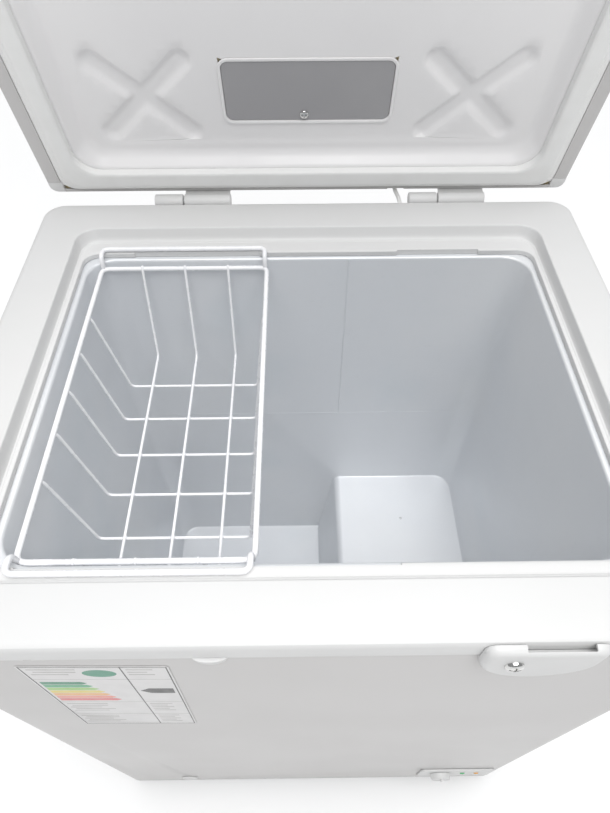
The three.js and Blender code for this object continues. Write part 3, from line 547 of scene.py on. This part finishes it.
def dress_nodes():
    """Gives every CAD node its material, rounded edges and even shading."""
    tree = even_shading()
    for part in frame["record"]["subparts"]:
        name, slot = part["node"], part["material_slot"]
        node = frame["nodes"][name]
        weld = node.modifiers.new("weld", "WELD")
        weld.merge_threshold = 0.00001
        edges = node.modifiers.new("edges", "BEVEL")
        edges.width = EDGE_WIDTHS.get(name, 0.25) * MM
        edges.segments = 3
        edges.limit_method = "ANGLE"
        edges.angle_limit = math.radians(35)
        shading = node.modifiers.new("shading", "NODES")
        shading.node_group = tree
        node.material_slots[0].link = "OBJECT"
        node.material_slots[0].material = MADE[slot]


# ---------------------------------------------------------------- camera, light and floor
def stand_camera():
    data = bpy.data.cameras.new("camera")
    data.lens = 26.5
    data.sensor_width = 36
    data.clip_start = 0.01
    camera = bpy.data.objects.new("camera", data)
    camera.location = (LEDGE.x - 0.0099, LEDGE.y - 0.370, LEDGE.z + 0.4328)
    turn = Matrix.Rotation(math.radians(-0.52), 4, "Z") @ Matrix.Rotation(math.radians(90 - 52.37), 4, "X")
    camera.rotation_euler = (turn @ Matrix.Rotation(math.radians(-0.19), 4, "Z")).to_euler()
    bpy.context.scene.collection.objects.link(camera)
    bpy.context.scene.camera = camera


def softbox(name, place, aim, size, power):
    data = bpy.data.lights.new(name, "AREA")
    data.shape = "RECTANGLE"
    data.size, data.size_y = size
    data.energy = power
    lamp = bpy.data.objects.new(name, data)
    lamp.location = place
    lamp.rotation_euler = (Vector(aim) - Vector(place)).to_track_quat("-Z", "Y").to_euler()
    bpy.context.scene.collection.objects.link(lamp)


def overhead(name, tilt, spread, strength):
    """Even soft light from above, leaning forward and to the right by two angles."""
    data = bpy.data.lights.new(name, "SUN")
    data.energy = strength
    data.angle = math.radians(spread)
    lamp = bpy.data.objects.new(name, data)
    lamp.rotation_euler = (math.radians(tilt[1]), math.radians(tilt[0]), 0)
    bpy.context.scene.collection.objects.link(lamp)


def stand_lights():
    world = bpy.data.worlds.new("studio")
    world.use_nodes = True
    world.node_tree.nodes["Background"].inputs["Color"].default_value = (0.97, 0.985, 1.0, 1)
    world.node_tree.nodes["Background"].inputs["Strength"].default_value = 0.31
    bpy.context.scene.world = world
    overhead("ceiling", (3, 5), 60, 2.25)
    softbox("fill", (0.1, -0.8, 2.05), (0, 0.25, 1.0), (0.9, 0.5), 8.5)
    bpy.context.scene.view_settings.view_transform = "Standard"


def lay_floor():
    size, low = 14.0, -0.0005
    points = [(x * size, y * size, low) for x, y in ((-1, -1), (1, -1), (1, 1), (-1, 1))]
    floor = solid("floor", (points, [(0, 1, 2, 3)]), Matrix.Identity(4))
    made = Finish("floor", (0.97, 0.97, 0.97), 0.7)
    made.mottled((0.95, 0.95, 0.95), 1.5, 0.5)
    floor.data.materials.append(made.relief("noise", 200, 0.02).done())


# ---------------------------------------------------------------- cabinet
def make_collar():
    """The broad rim with its recess for the seal, the ledge, the lip and the apron."""
    low = -10
    radii = [0.5, 7, 1.6, 6, 0.3, 0.3, 1.3, 0.8, 0.3, 0, 0, 0, 0, 0, 0]
    stations = softened([
        even(312, -252, 263, 22, low),
        even(312, -252, 263, 22, COLLAR_TOP),
        even(263.3, -205, 213.6, 22, COLLAR_TOP),
        even(260.6, -201.6, 209, 20, 0.5),
        even(258.4, -198.2, 204.8, 18, 0.5),
        even(258.0, -197.8, 204.4, 18, 0),
        even(MOUTH_X, -MOUTH_Y, MOUTH_Y, 16, 0),
        even(MOUTH_X, -MOUTH_Y, MOUTH_Y, 16, -6.5),
        even(MOUTH_X + 2.5, -MOUTH_Y - 2.5, MOUTH_Y + 2.5, 18, -6.5),
        even(MOUTH_X + 2.5, -MOUTH_Y - 2.5, MOUTH_Y + 2.5, 18, -3),
        even(262, -203, 211, 21, -3),
        even(266.3, -208, 216.6, 25, COLLAR_TOP - 3),
        even(303, -243, 254, 16, COLLAR_TOP - 3),
        even(310, -250, 261, 20, 7),
        even(310, -250, 261, 20, low),
    ], radii, closed=True)
    collar = solid("collar", loft(stations, closed=True))
    cuts = [block((x - HINGE_HALF - 1, 260.6, HINGE_Z - 9.5), (x + HINGE_HALF + 1, 266, 20))
            for x in HINGES.values()]
    lip_notches = ((-199, -56, 1), (101, 194, 1), (-230, 65, -1))
    for left, right, side in lip_notches:
        near, far = sorted((side * (MOUTH_Y - 1), side * (MOUTH_Y + 1.9)))
        cuts.append(block((left, near, -8), (right, far, 1)))
    apron_slots = (-208, -78)
    for x in apron_slots:
        cuts.append(block((x, -253, -10.5), (x + 6, -249, -8.6)))
    combined(collar, cuts)
    worn(settled(collar, 28), MADE["white_plastic"], "cabinet", "white_plastic", "top_frame")


def make_tank():
    """The stepped tank: bent in one strip over the step, with upright rounded corners."""
    outline = [(-TANK_X, TANK_FLOOR), (STEP_FOOT, TANK_FLOOR), (STEP_EDGE, STEP_TOP), (TANK_X, STEP_TOP),
               (TANK_X, TANK_TOP), (-TANK_X, TANK_TOP)]
    tank = solid("tank", carried(outline, -TANK_Y, TANK_Y))
    work = bmesh.new()
    work.from_mesh(tank.data)

    def edges(wanted):
        return [edge for edge in work.edges if wanted(*(CABINET.inverted() @ v.co for v in edge.verts))]

    def is_corner(a, b):
        return abs(a.x - b.x) < 1 and abs(a.y - b.y) < 1

    wide = edges(is_corner)
    bmesh.ops.bevel(work, geom=wide, offset=TANK_CORNER * MM, segments=8, affect="EDGES", profile=0.5)
    step = edges(lambda a, b: abs(a.y - b.y) > 99 and abs(a.z - STEP_TOP) < 1 and abs(a.x - STEP_EDGE) < 1)
    bmesh.ops.bevel(work, geom=step, offset=10 * MM, segments=6, affect="EDGES", profile=0.5)
    lid_faces = [face for face in work.faces if face.normal.z > 0.9
                 and (CABINET.inverted() @ face.calc_center_median()).z > TANK_TOP - 1]
    bmesh.ops.delete(work, geom=lid_faces, context="FACES_ONLY")
    rim = [edge for edge in work.edges if edge.is_boundary]
    flange = bmesh.ops.extrude_edge_only(work, edges=rim)["geom"]
    growth_x, growth_y = 1.048, 1.066
    for vertex in (item for item in flange if isinstance(item, bmesh.types.BMVert)):
        vertex.co.x = LEDGE.x + (vertex.co.x - LEDGE.x) * growth_x
        vertex.co.y = LEDGE.y + (vertex.co.y - LEDGE.y) * growth_y
    work.to_mesh(tank.data)
    work.free()
    feet = tank.modifiers.new("feet", "BEVEL")
    feet.width = 3 * MM
    feet.segments = 3
    feet.limit_method = "ANGLE"
    feet.angle_limit = math.radians(40)
    sheet = tank.modifiers.new("sheet", "SOLIDIFY")
    sheet.thickness = 1.1 * MM
    sheet.offset = 1
    worn(settled(tank, 40), MADE["tank_aluminium"], "cabinet", "tank_aluminium", "liner")


def make_tank_details():
    """The folded seam of the back wall, a shallow press line and the rivet on the step."""
    seam = [(45.2, TANK_Y), (45.5, TANK_Y - 0.5), (46.7, TANK_Y - 0.6), (47.2, TANK_Y - 0.2), (47.2, TANK_Y)]
    points = [(x, y, z) for z in (TANK_TOP - 2, -300) for x, y in seam]
    count = len(seam)
    faces = [(i, (i + 1) % count, count + (i + 1) % count, count + i) for i in range(count)]
    strip = solid("tank_seam", (points, [*faces, tuple(range(count)), tuple(range(count, 2 * count))]))
    worn(settled(strip), MADE["tank_aluminium"], "cabinet", "tank_aluminium")
    press = solid("tank_press_line", block((-215, TANK_Y - 0.25, -301.2), (215, TANK_Y + 0.2, -300)))
    worn(edged(press, 0.2, 2), MADE["tank_aluminium"], "cabinet", "tank_aluminium")
    rivet = turned([(0, -0.5), (2.4, -0.3), (2.2, 0.5), (1.2, 1.0), (0, 1.1)], (156, 99, STEP_TOP), sides=20)
    worn(settled(solid("tank_rivet", rivet)), MADE["zinc_steel"], "cabinet", "zinc_steel")


# ---------------------------------------------------------------- hinges and lead
def knuckle(centre, low, high):
    """A hinge barrel with rounded rims, lying along X."""
    rim = 1.1
    profile = [(0, low), (KNUCKLE - 2.4, low), (KNUCKLE - 2.0, low + 0.2), (KNUCKLE - rim, low + 0.2)]
    profile += [(KNUCKLE - rim + rim * math.sin(t), low + 0.2 + rim - rim * math.cos(t))
                for t in np.linspace(0.3, math.pi / 2, 4)]
    profile += [(radius, high + low - height) for radius, height in reversed(profile)]
    return turned(profile, (centre, HINGE_Y, HINGE_Z), "x", 40)


def make_hinges():
    """A leaf on the cabinet and a leaf on the lid for each hinge."""
    for side, centre in HINGES.items():
        base = solid(f"hinge_leaf_{side}", knuckle(centre, -HINGE_HALF, HINGE_SPLIT - 0.6))
        left, right = centre - HINGE_HALF + 1, centre + HINGE_SPLIT - 1
        tail = block((left, 263.4, -70), (right, HINGE_Y - 2.6, HINGE_Z - 2))
        foot = block((left, 261, -70), (right, HINGE_Y - 3.2, -14.4))
        combined(base, [tail, foot], "UNION")
        worn(edged(base, 0.7), MADE["white_plastic"], "cabinet", "white_plastic", f"hinge_base_{side}")
        arm = solid(f"hinge_lid_leaf_{side}", knuckle(centre, HINGE_SPLIT + 0.6, HINGE_HALF), LID)
        left, right = centre + HINGE_SPLIT + 2, centre + HINGE_HALF - 1
        plate = block((left, 263.9, HINGE_Z), (right, 266.9, HINGE_Z + 42))
        combined(arm, [plate], "UNION", LID)
        worn(edged(arm, 0.7), MADE["white_plastic"], "lid", "white_plastic", f"hinge_arm_{side}")


def make_lead():
    """The lamp's lead, from a slot in the lid's lip down behind the collar."""
    inside, outside = (LID @ Vector((105.5, y, 30)) for y in (258.5, 269.5))
    lower = [CABINET @ Vector(point) for point in
             ((112, 276, 8), (115, 267.5, -6), (114, 266.5, -18), (111, 264, -30), (111, 257.4, -30))]
    path = bent([inside, outside, *lower], 0.006)
    lead = solid("lamp_cable", tube(path, 2.4 * MM, 14), Matrix.Identity(4))
    settled(lead)
    lead.data.materials.append(MADE["seal_pvc"])
    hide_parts("lamp_lead")
    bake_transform(lead)


# ---------------------------------------------------------------- lid
def make_lid_shell():
    """The folded steel skin of the lid, with its inward hem."""
    hem = (292.5, -235.5, 259.4)
    stations = softened([
        even(290, -233, 245.5, 5, LID_TOP - 1.2),
        even(306.8, -249.8, 262.3, 7.8, LID_TOP - 1.2),
        even(306.8, -249.8, 262.3, 7.8, RIM_Z + 1.2),
        even(*hem, 3, RIM_Z + 1.2),
        even(*hem, 3, RIM_Z),
        even(308, -251, 263.5, 9, RIM_Z),
        even(308, -251, 263.5, 9, LID_TOP),
        even(276, -219, 231.5, 3, LID_TOP),
    ], [0, 9, 1.5, 0.4, 0.4, 1.6, 14, 0], steps=6)
    shell = solid("lid_skin", loft(stations), LID)
    cuts = [block((x - 10, 249.2, RIM_Z - 2), (x + 10.6, 268, RIM_Z + 12.35)) for x in (-301.8, 301.2)]
    cuts.append(block((96, 262, RIM_Z - 1), (116, 265, RIM_Z + 5)))
    combined(shell, cuts, place=LID)
    worn(settled(shell, 30), MADE["white_steel"], "lid", "white_steel", "lid_shell")


def cross_depth(x, y):
    """How deep the crossed grooves are pressed at a point, from 0 to 1."""
    nearest = 99.0
    for turn in (-43, 43):
        along = Vector((math.cos(math.radians(turn)), math.sin(math.radians(turn))))
        point = Vector((abs(x) - CROSS_X, y - CROSS_Y))
        run = max(-60.0, min(60.0, point.dot(along)))
        nearest = min(nearest, (point - along * run).length)
    t = max(0.0, min(1.0, (14 - nearest) / 9))
    return t * t * (3 - 2 * t)


def make_lid_liner():
    """The formed inner skin: flange, dished slopes and a panel with crossed grooves."""
    slope = softened([
        even(300, -243, 257, 20, 23.4),
        even(262.5, -206.5, 230.5, 30, 23.4),
        even(251, -184, 219, 26, PANEL_Z),
        even(238, -171, 206, 22, PANEL_Z),
    ], [0, 4, 8, 0], steps=7)
    points, faces = loft(slope, steps=9)
    faces = faces[:-2]
    rim = rounded(*slope[-1], steps=9)
    first = len(points) - len(rim)
    lamp = rounded(-LAMP_X - 0.5, LAMP_X + 0.5, LAMP_FRONT - 0.5, LAMP_REAR + 0.5, 10, 0)
    inner = [(x, y) for x in np.arange(-230, 231, 10.0) for y in np.arange(-163, 200, 10.0)]
    inner += [(side * x, y) for side in (-1, 1) for x in np.arange(105.7, 236, 3.1)
              for y in np.arange(84.3, 204, 3.1) if cross_depth(x, y) > 0 or cross_depth(x + 3, y) > 0]
    flat = [Vector(p[:2]) for p in rim] + [Vector(p[:2]) for p in lamp] + [Vector(p) for p in inner]
    loops = []
    for start, count in ((0, len(rim)), (len(rim), len(lamp))):
        loops += [(start + i, start + (i + 1) % count) for i in range(count)]
    spots, _, triangles, origins, _, _ = delaunay_2d_cdt(flat, loops, [], 1, 0.01)
    numbers = []
    for spot, origin in zip(spots, origins):
        from_rim = [i for i in origin if i < len(rim)]
        if from_rim:
            numbers.append(first + from_rim[0])
            continue
        numbers.append(len(points))
        points.append((spot.x, spot.y, PANEL_Z + 6 * cross_depth(spot.x, spot.y)))
    for triangle in triangles:
        middle = sum((spots[i] for i in triangle), Vector((0, 0))) / 3
        over_lamp = abs(middle.y - (LAMP_FRONT + LAMP_REAR) / 2) < (LAMP_REAR - LAMP_FRONT) / 2 + 0.4
        if not (abs(middle.x) < LAMP_X + 0.4 and over_lamp):
            faces.append(tuple(numbers[i] for i in triangle))
    liner = solid("lid_inner_skin", (points, faces), LID)
    sheet = liner.modifiers.new("sheet", "SOLIDIFY")
    sheet.thickness = 1.5 * MM
    sheet.offset = 1
    worn(settled(liner, 40), MADE["lid_liner_plastic"], "lid", "lid_liner_plastic", "lid_liner")
    return liner


def make_gasket():
    """The hollow seal with its folded outer flank and flat magnetic face."""
    base = 23.2
    stations = softened([
        even(291.2, -234.2, 258.3, 16, base),
        even(291.2, -234.2, 258.3, 17, 20.6),
        even(288.0, -231.2, 255.6, 18, 19.6),
        even(286.6, -230.0, 254.4, 19, 18.0),
        even(284.2, -227.8, 252.4, 20, 17.2),
        even(281.6, -225.4, 250.2, 21, 15.0),
        even(279.6, -223.6, 248.4, 21, 14.8),
        even(267, -210, 234, 24, 14.8),
        even(264.6, -207.8, 232, 26, 15.8),
        even(263.6, -207, 231.2, 27, 20.6),
        even(263.6, -207, 231.2, 27, base),
    ], [0, 1, 1, 0.8, 0.8, 1.2, 0.8, 0.8, 0.9, 0.5, 0], closed=True)
    gasket = solid("door_seal", loft(stations, closed=True, steps=9), LID)
    worn(settled(gasket, 30), MADE["seal_pvc"], "lid", "seal_pvc", "lid_gasket")


def make_lamp():
    """The lamp's tray with a raised rim, its grey lens and a cross-headed screw."""
    def room(grow, z):
        return (-LAMP_X - grow, LAMP_X + grow, LAMP_FRONT - grow, LAMP_REAR + grow, 10 + grow, z)

    wall = [room(0, 51.0), room(0, 37.7), room(1.4, 37.4), room(1.4, 36.5), room(0.8, 36.0)]
    wall += [room(-1.2, 36.0), room(-1.8, 36.3), room(-2, 36.8), room(-2, 49.6)]
    tray = solid("lamp_tray", loft(wall), LID)
    worn(settled(tray, 30), MADE["lid_liner_plastic"], "lid", "lid_liner_plastic", "lamp_housing")
    cover = solid("lamp_diffuser", loft([room(-2.3, 40.0), room(-2.3, 37.9), room(-2.8, 37.4)]), LID)
    worn(settled(cover, 30), MADE["lamp_lens"], "lid", "lamp_lens", "lamp_cover")
    screw = screw_head("lamp_screw", 5.0, LID, (-4, LAMP_REAR - 9.5, 37.2), "down")
    worn(screw, MADE["bright_steel"], "lid", "bright_steel", "lamp_cover_screw")


# ---------------------------------------------------------------- screws
def screw_head(name, radius, place, at, facing):
    """A domed head with a cross recess, facing down or to the front."""
    rise = radius * 0.42
    dome = [(0, 0), (radius, 0)]
    dome += [(radius * math.cos(t) * 0.98, 0.15 * radius + rise * math.sin(t))
             for t in np.linspace(0, 1.35, 7)]
    dome.append((0, 0.15 * radius + rise))
    head = solid(name, turned(dome, (0, 0, 0), sides=28), Matrix.Identity(4))
    deep, wide, long = radius * 0.25, radius * 0.13, radius * 0.62
    arms = [block((-x, -y, deep), (x, y, radius)) for x, y in ((long, wide), (wide, long))]
    combined(head, arms, place=Matrix.Identity(4))
    turn = Matrix.Rotation({"down": math.pi, "front": math.pi / 2}[facing], 4, "X")
    head.data.transform(place @ Matrix.Translation(at) @ turn)
    return settled(head, 30)


# ---------------------------------------------------------------- front fittings
def catch_ring(grow, y):
    """One ring of the catch: flat top, upright sides and a bowed lower edge."""
    left, right, top, waist, bottom = 120 - grow, 194 + grow, COLLAR_TOP - 6 + grow, -12, -41 - grow
    corner = 5 + 0.6 * grow
    points = [(right - corner + corner * math.cos(t), top - corner + corner * math.sin(t))
              for t in np.linspace(0, math.pi / 2, 6)]
    points += [(left + corner + corner * math.cos(t), top - corner + corner * math.sin(t))
               for t in np.linspace(math.pi / 2, math.pi, 6)]
    centre, half = (left + right) / 2, (right - left) / 2
    points += [(centre + half * math.cos(t), waist + (waist - bottom) * math.sin(t))
               for t in np.linspace(math.pi, 2 * math.pi, 25)]
    return [(x, y, z) for x, z in points]


def make_catch():
    """The lock's catch, with its slot, its pocket and its screw."""
    front, bevel = -259.3, 6
    rings = [catch_ring(bevel * math.sin(t), front + bevel * (1 - math.cos(t)))
             for t in np.linspace(0, math.pi / 2, 7)]
    rings.append(catch_ring(bevel, -249.9))
    catch = solid("catch_body", skin(rings))
    apron = block((90, -252.3, -10.3), (220, -240, 30))
    opening = block((141, -257, 1.5), (188, -249, 30))
    pocket = block((141, -257, 1.5), (195, -249, COLLAR_TOP - 3))
    combined(catch, [apron, opening, pocket])
    worn(edged(catch, 0.5, 2, 50), MADE["white_plastic"], "cabinet", "white_plastic", "lock_catch")
    screw = screw_head("catch_screw_head", 7.0, CABINET, (137, front - 0.1, -10), "front")
    worn(screw, MADE["bright_steel"], "cabinet", "bright_steel", "catch_screw")


def make_apron_clip():
    """A half dome that hangs under the apron's edge."""
    points, faces = [], []
    rows, columns = 10, 24
    half_width, drop, bulge = 13.5, 15, 5.0
    for row in range(rows + 1):
        tilt = math.pi / 2 * row / rows
        for column in range(columns + 1):
            angle = math.pi + math.pi * column / columns
            reach = math.cos(tilt)
            points.append((-77 + half_width * reach * math.cos(angle), -249.9 - bulge * math.sin(tilt),
                           -10.4 + drop * reach * math.sin(angle)))
    for row in range(rows):
        for column in range(columns):
            a = row * (columns + 1) + column
            faces.append((a, a + 1, a + columns + 2, a + columns + 1))
    width = columns + 1
    left_edge = [row * width for row in range(rows + 1)]
    right_edge = [row * width + columns for row in range(rows, -1, -1)]
    faces += [tuple(range(width)), (*left_edge, *right_edge)]
    clip = solid("apron_button", (points, faces))
    worn(settled(clip, 40), MADE["white_plastic"], "cabinet", "white_plastic", "apron_clip")


# ---------------------------------------------------------------- basket
def weld_bead(at, radius):
    """A flattened drop of weld and coating where two wires cross."""
    profile = [(radius * 1.75 * math.sin(t), radius * 1.25 * math.cos(t))
               for t in np.linspace(math.pi, 0, 7)]
    profile[0] = (0, profile[0][1])
    profile[-1] = (0, profile[-1][1])
    return turned(profile, at, sides=10)


def make_basket():
    """Welded and coated wire: a rim, two hangers, three long and five cross wires."""
    left, right, front, back, z, low = -236, -48, -178, 175, -13, -126
    thick, thin = 2.6, 1.6
    long_wires = (-190, -141.5, -92.5)
    wires = [tube(bent([(left + 30, front, z), (left, front, z), (left, back, z), (right, back, z),
                        (right, front, z), (left + 29, front, z)], 9), thick, 14)]
    for y, rest in ((front, -194), (back, 189.5)):
        out = math.copysign(1.0, y)
        wires.append(tube(bent([
            (left + 2, y - out, z - 1), (left + 2, y + out, 3.2), (left + 2, rest, 3.3),
            (right - 2, rest, 3.3), (right - 2, y + out, 3.2), (right - 2, y - out, z - 1)], 7), thick, 14))
    for x in long_wires:
        wires.append(tube(bent([
            (x, front - 2, z + 0.6), (x, front + 0.4, z + 3.6), (x, front + 3.2, z - 4),
            (x, front + 31, low), (x, back - 31, low), (x, back - 3.2, z - 4), (x, back - 0.4, z + 3.6),
            (x, back + 2, z + 0.6)], 6), thin, 10))
    for at in (-103.5, -53.5, -3.5, 46.5, 96.5):
        under = low - 2 * thin + 0.5
        path = bent([(left - 1.6, at, z + 0.8), (left + 2.6, at, z - 4), (left + 20, at, under),
                     (right - 15, at, under), (right - 2.6, at, z - 4), (right + 1.6, at, z + 0.8)], 6)
        wires.append(tube(path, thin, 10))
        for x in long_wires:
            wires.append(weld_bead((x, at, low - thin + 0.2), thin))
    basket = solid("coated_basket", together(*wires))
    worn(settled(basket, 50), MADE["coated_wire"], "basket", "coated_wire", "wire_basket")


# ---------------------------------------------------------------- label
INKS = {
    "ink_black": (0.03, 0.03, 0.03), "ink_grey": (0.42, 0.41, 0.40), "ink_green_dark": (0.02, 0.22, 0.12),
    "ink_green": (0.06, 0.36, 0.17), "ink_green_light": (0.30, 0.55, 0.14), "ink_yellow": (0.72, 0.60, 0.14),
    "ink_amber": (0.78, 0.42, 0.16), "ink_rose": (0.78, 0.28, 0.22), "ink_red": (0.68, 0.14, 0.14),
    "ink_badge": (0.04, 0.26, 0.16),
}


def make_label():
    """The printed energy label: rules, a badge, seven bars and a pointer, with no lettering."""
    width, height, tilt = 113, 220, math.radians(2.7)
    place = (CABINET @ Matrix.Translation((-173, -249.95, -145)) @ Matrix.Rotation(tilt, 4, "Y")
             @ Matrix.Translation((-width / 2, 0, -height / 2)))
    sheet = solid("label_sheet", carried(corners(0, 0, width, height, 2), -0.25, 0.0), place)
    worn(edged(sheet, 0.08, 2), MADE["label_paper"], "cabinet", "label_paper", "energy_label")
    prints = {ink: [] for ink in INKS}

    def line(x0, z0, x1, z1, ink="ink_black"):
        prints[ink].append([(x0, z0), (x1, z0), (x1, z1), (x0, z1)])

    for x in (1.5, 76.0, 110.5):
        line(x, 1.5, x + 1.0, 218.5)
    for z in (1.5, 216.8):
        line(1.5, z, 111.5, z + 1.0)
    for z in (182, 102, 50):
        line(2.5, z, 111, z + 0.7, "ink_grey")
    prints["ink_badge"].append([(58 + 13 * math.cos(t), 200 + 10 * math.sin(t))
                                for t in np.linspace(0, 2 * math.pi, 40, endpoint=False)])
    bars = [ink for ink in INKS if ink not in ("ink_black", "ink_grey", "ink_badge")]
    for i, ink in enumerate(bars):
        z, reach = 174 - 9.6 * i, 37 + 2.8 * i
        prints[ink].append([(5, z), (reach, z), (reach + 4.5, z - 4), (reach, z - 8), (5, z - 8)])
    prints["ink_black"].append([(80, 144), (88, 152), (108, 152), (108, 136), (88, 136)])
    for z, rows in ((212, 3), (96, 5), (44, 5)):
        for row in range(rows):
            start = 6 + 3 * (row % 2)
            line(start, z - 7 * row - 2.2, start + 36 - 4 * (row % 3), z - 7 * row, "ink_grey")
            line(80, z - 7 * row - 2.0, 100 - 5 * (row % 2), z - 7 * row, "ink_grey")
    for ink, outlines in prints.items():
        shapes = [carried(outline, -0.33, -0.2) for outline in outlines]
        mark = solid(ink + "_print", together(*shapes), place)
        worn(settled(mark), printed(ink, INKS[ink], 0.4), "cabinet", "label_paper")


# ---------------------------------------------------------------- the scene
stand_camera()
stand_lights()
lay_floor()
dress_nodes()
make_collar()
make_tank()
make_tank_details()
make_hinges()
make_lead()
make_lid_shell()
make_lid_liner()
make_gasket()
make_lamp()
make_catch()
make_apron_clip()
make_basket()
make_label()
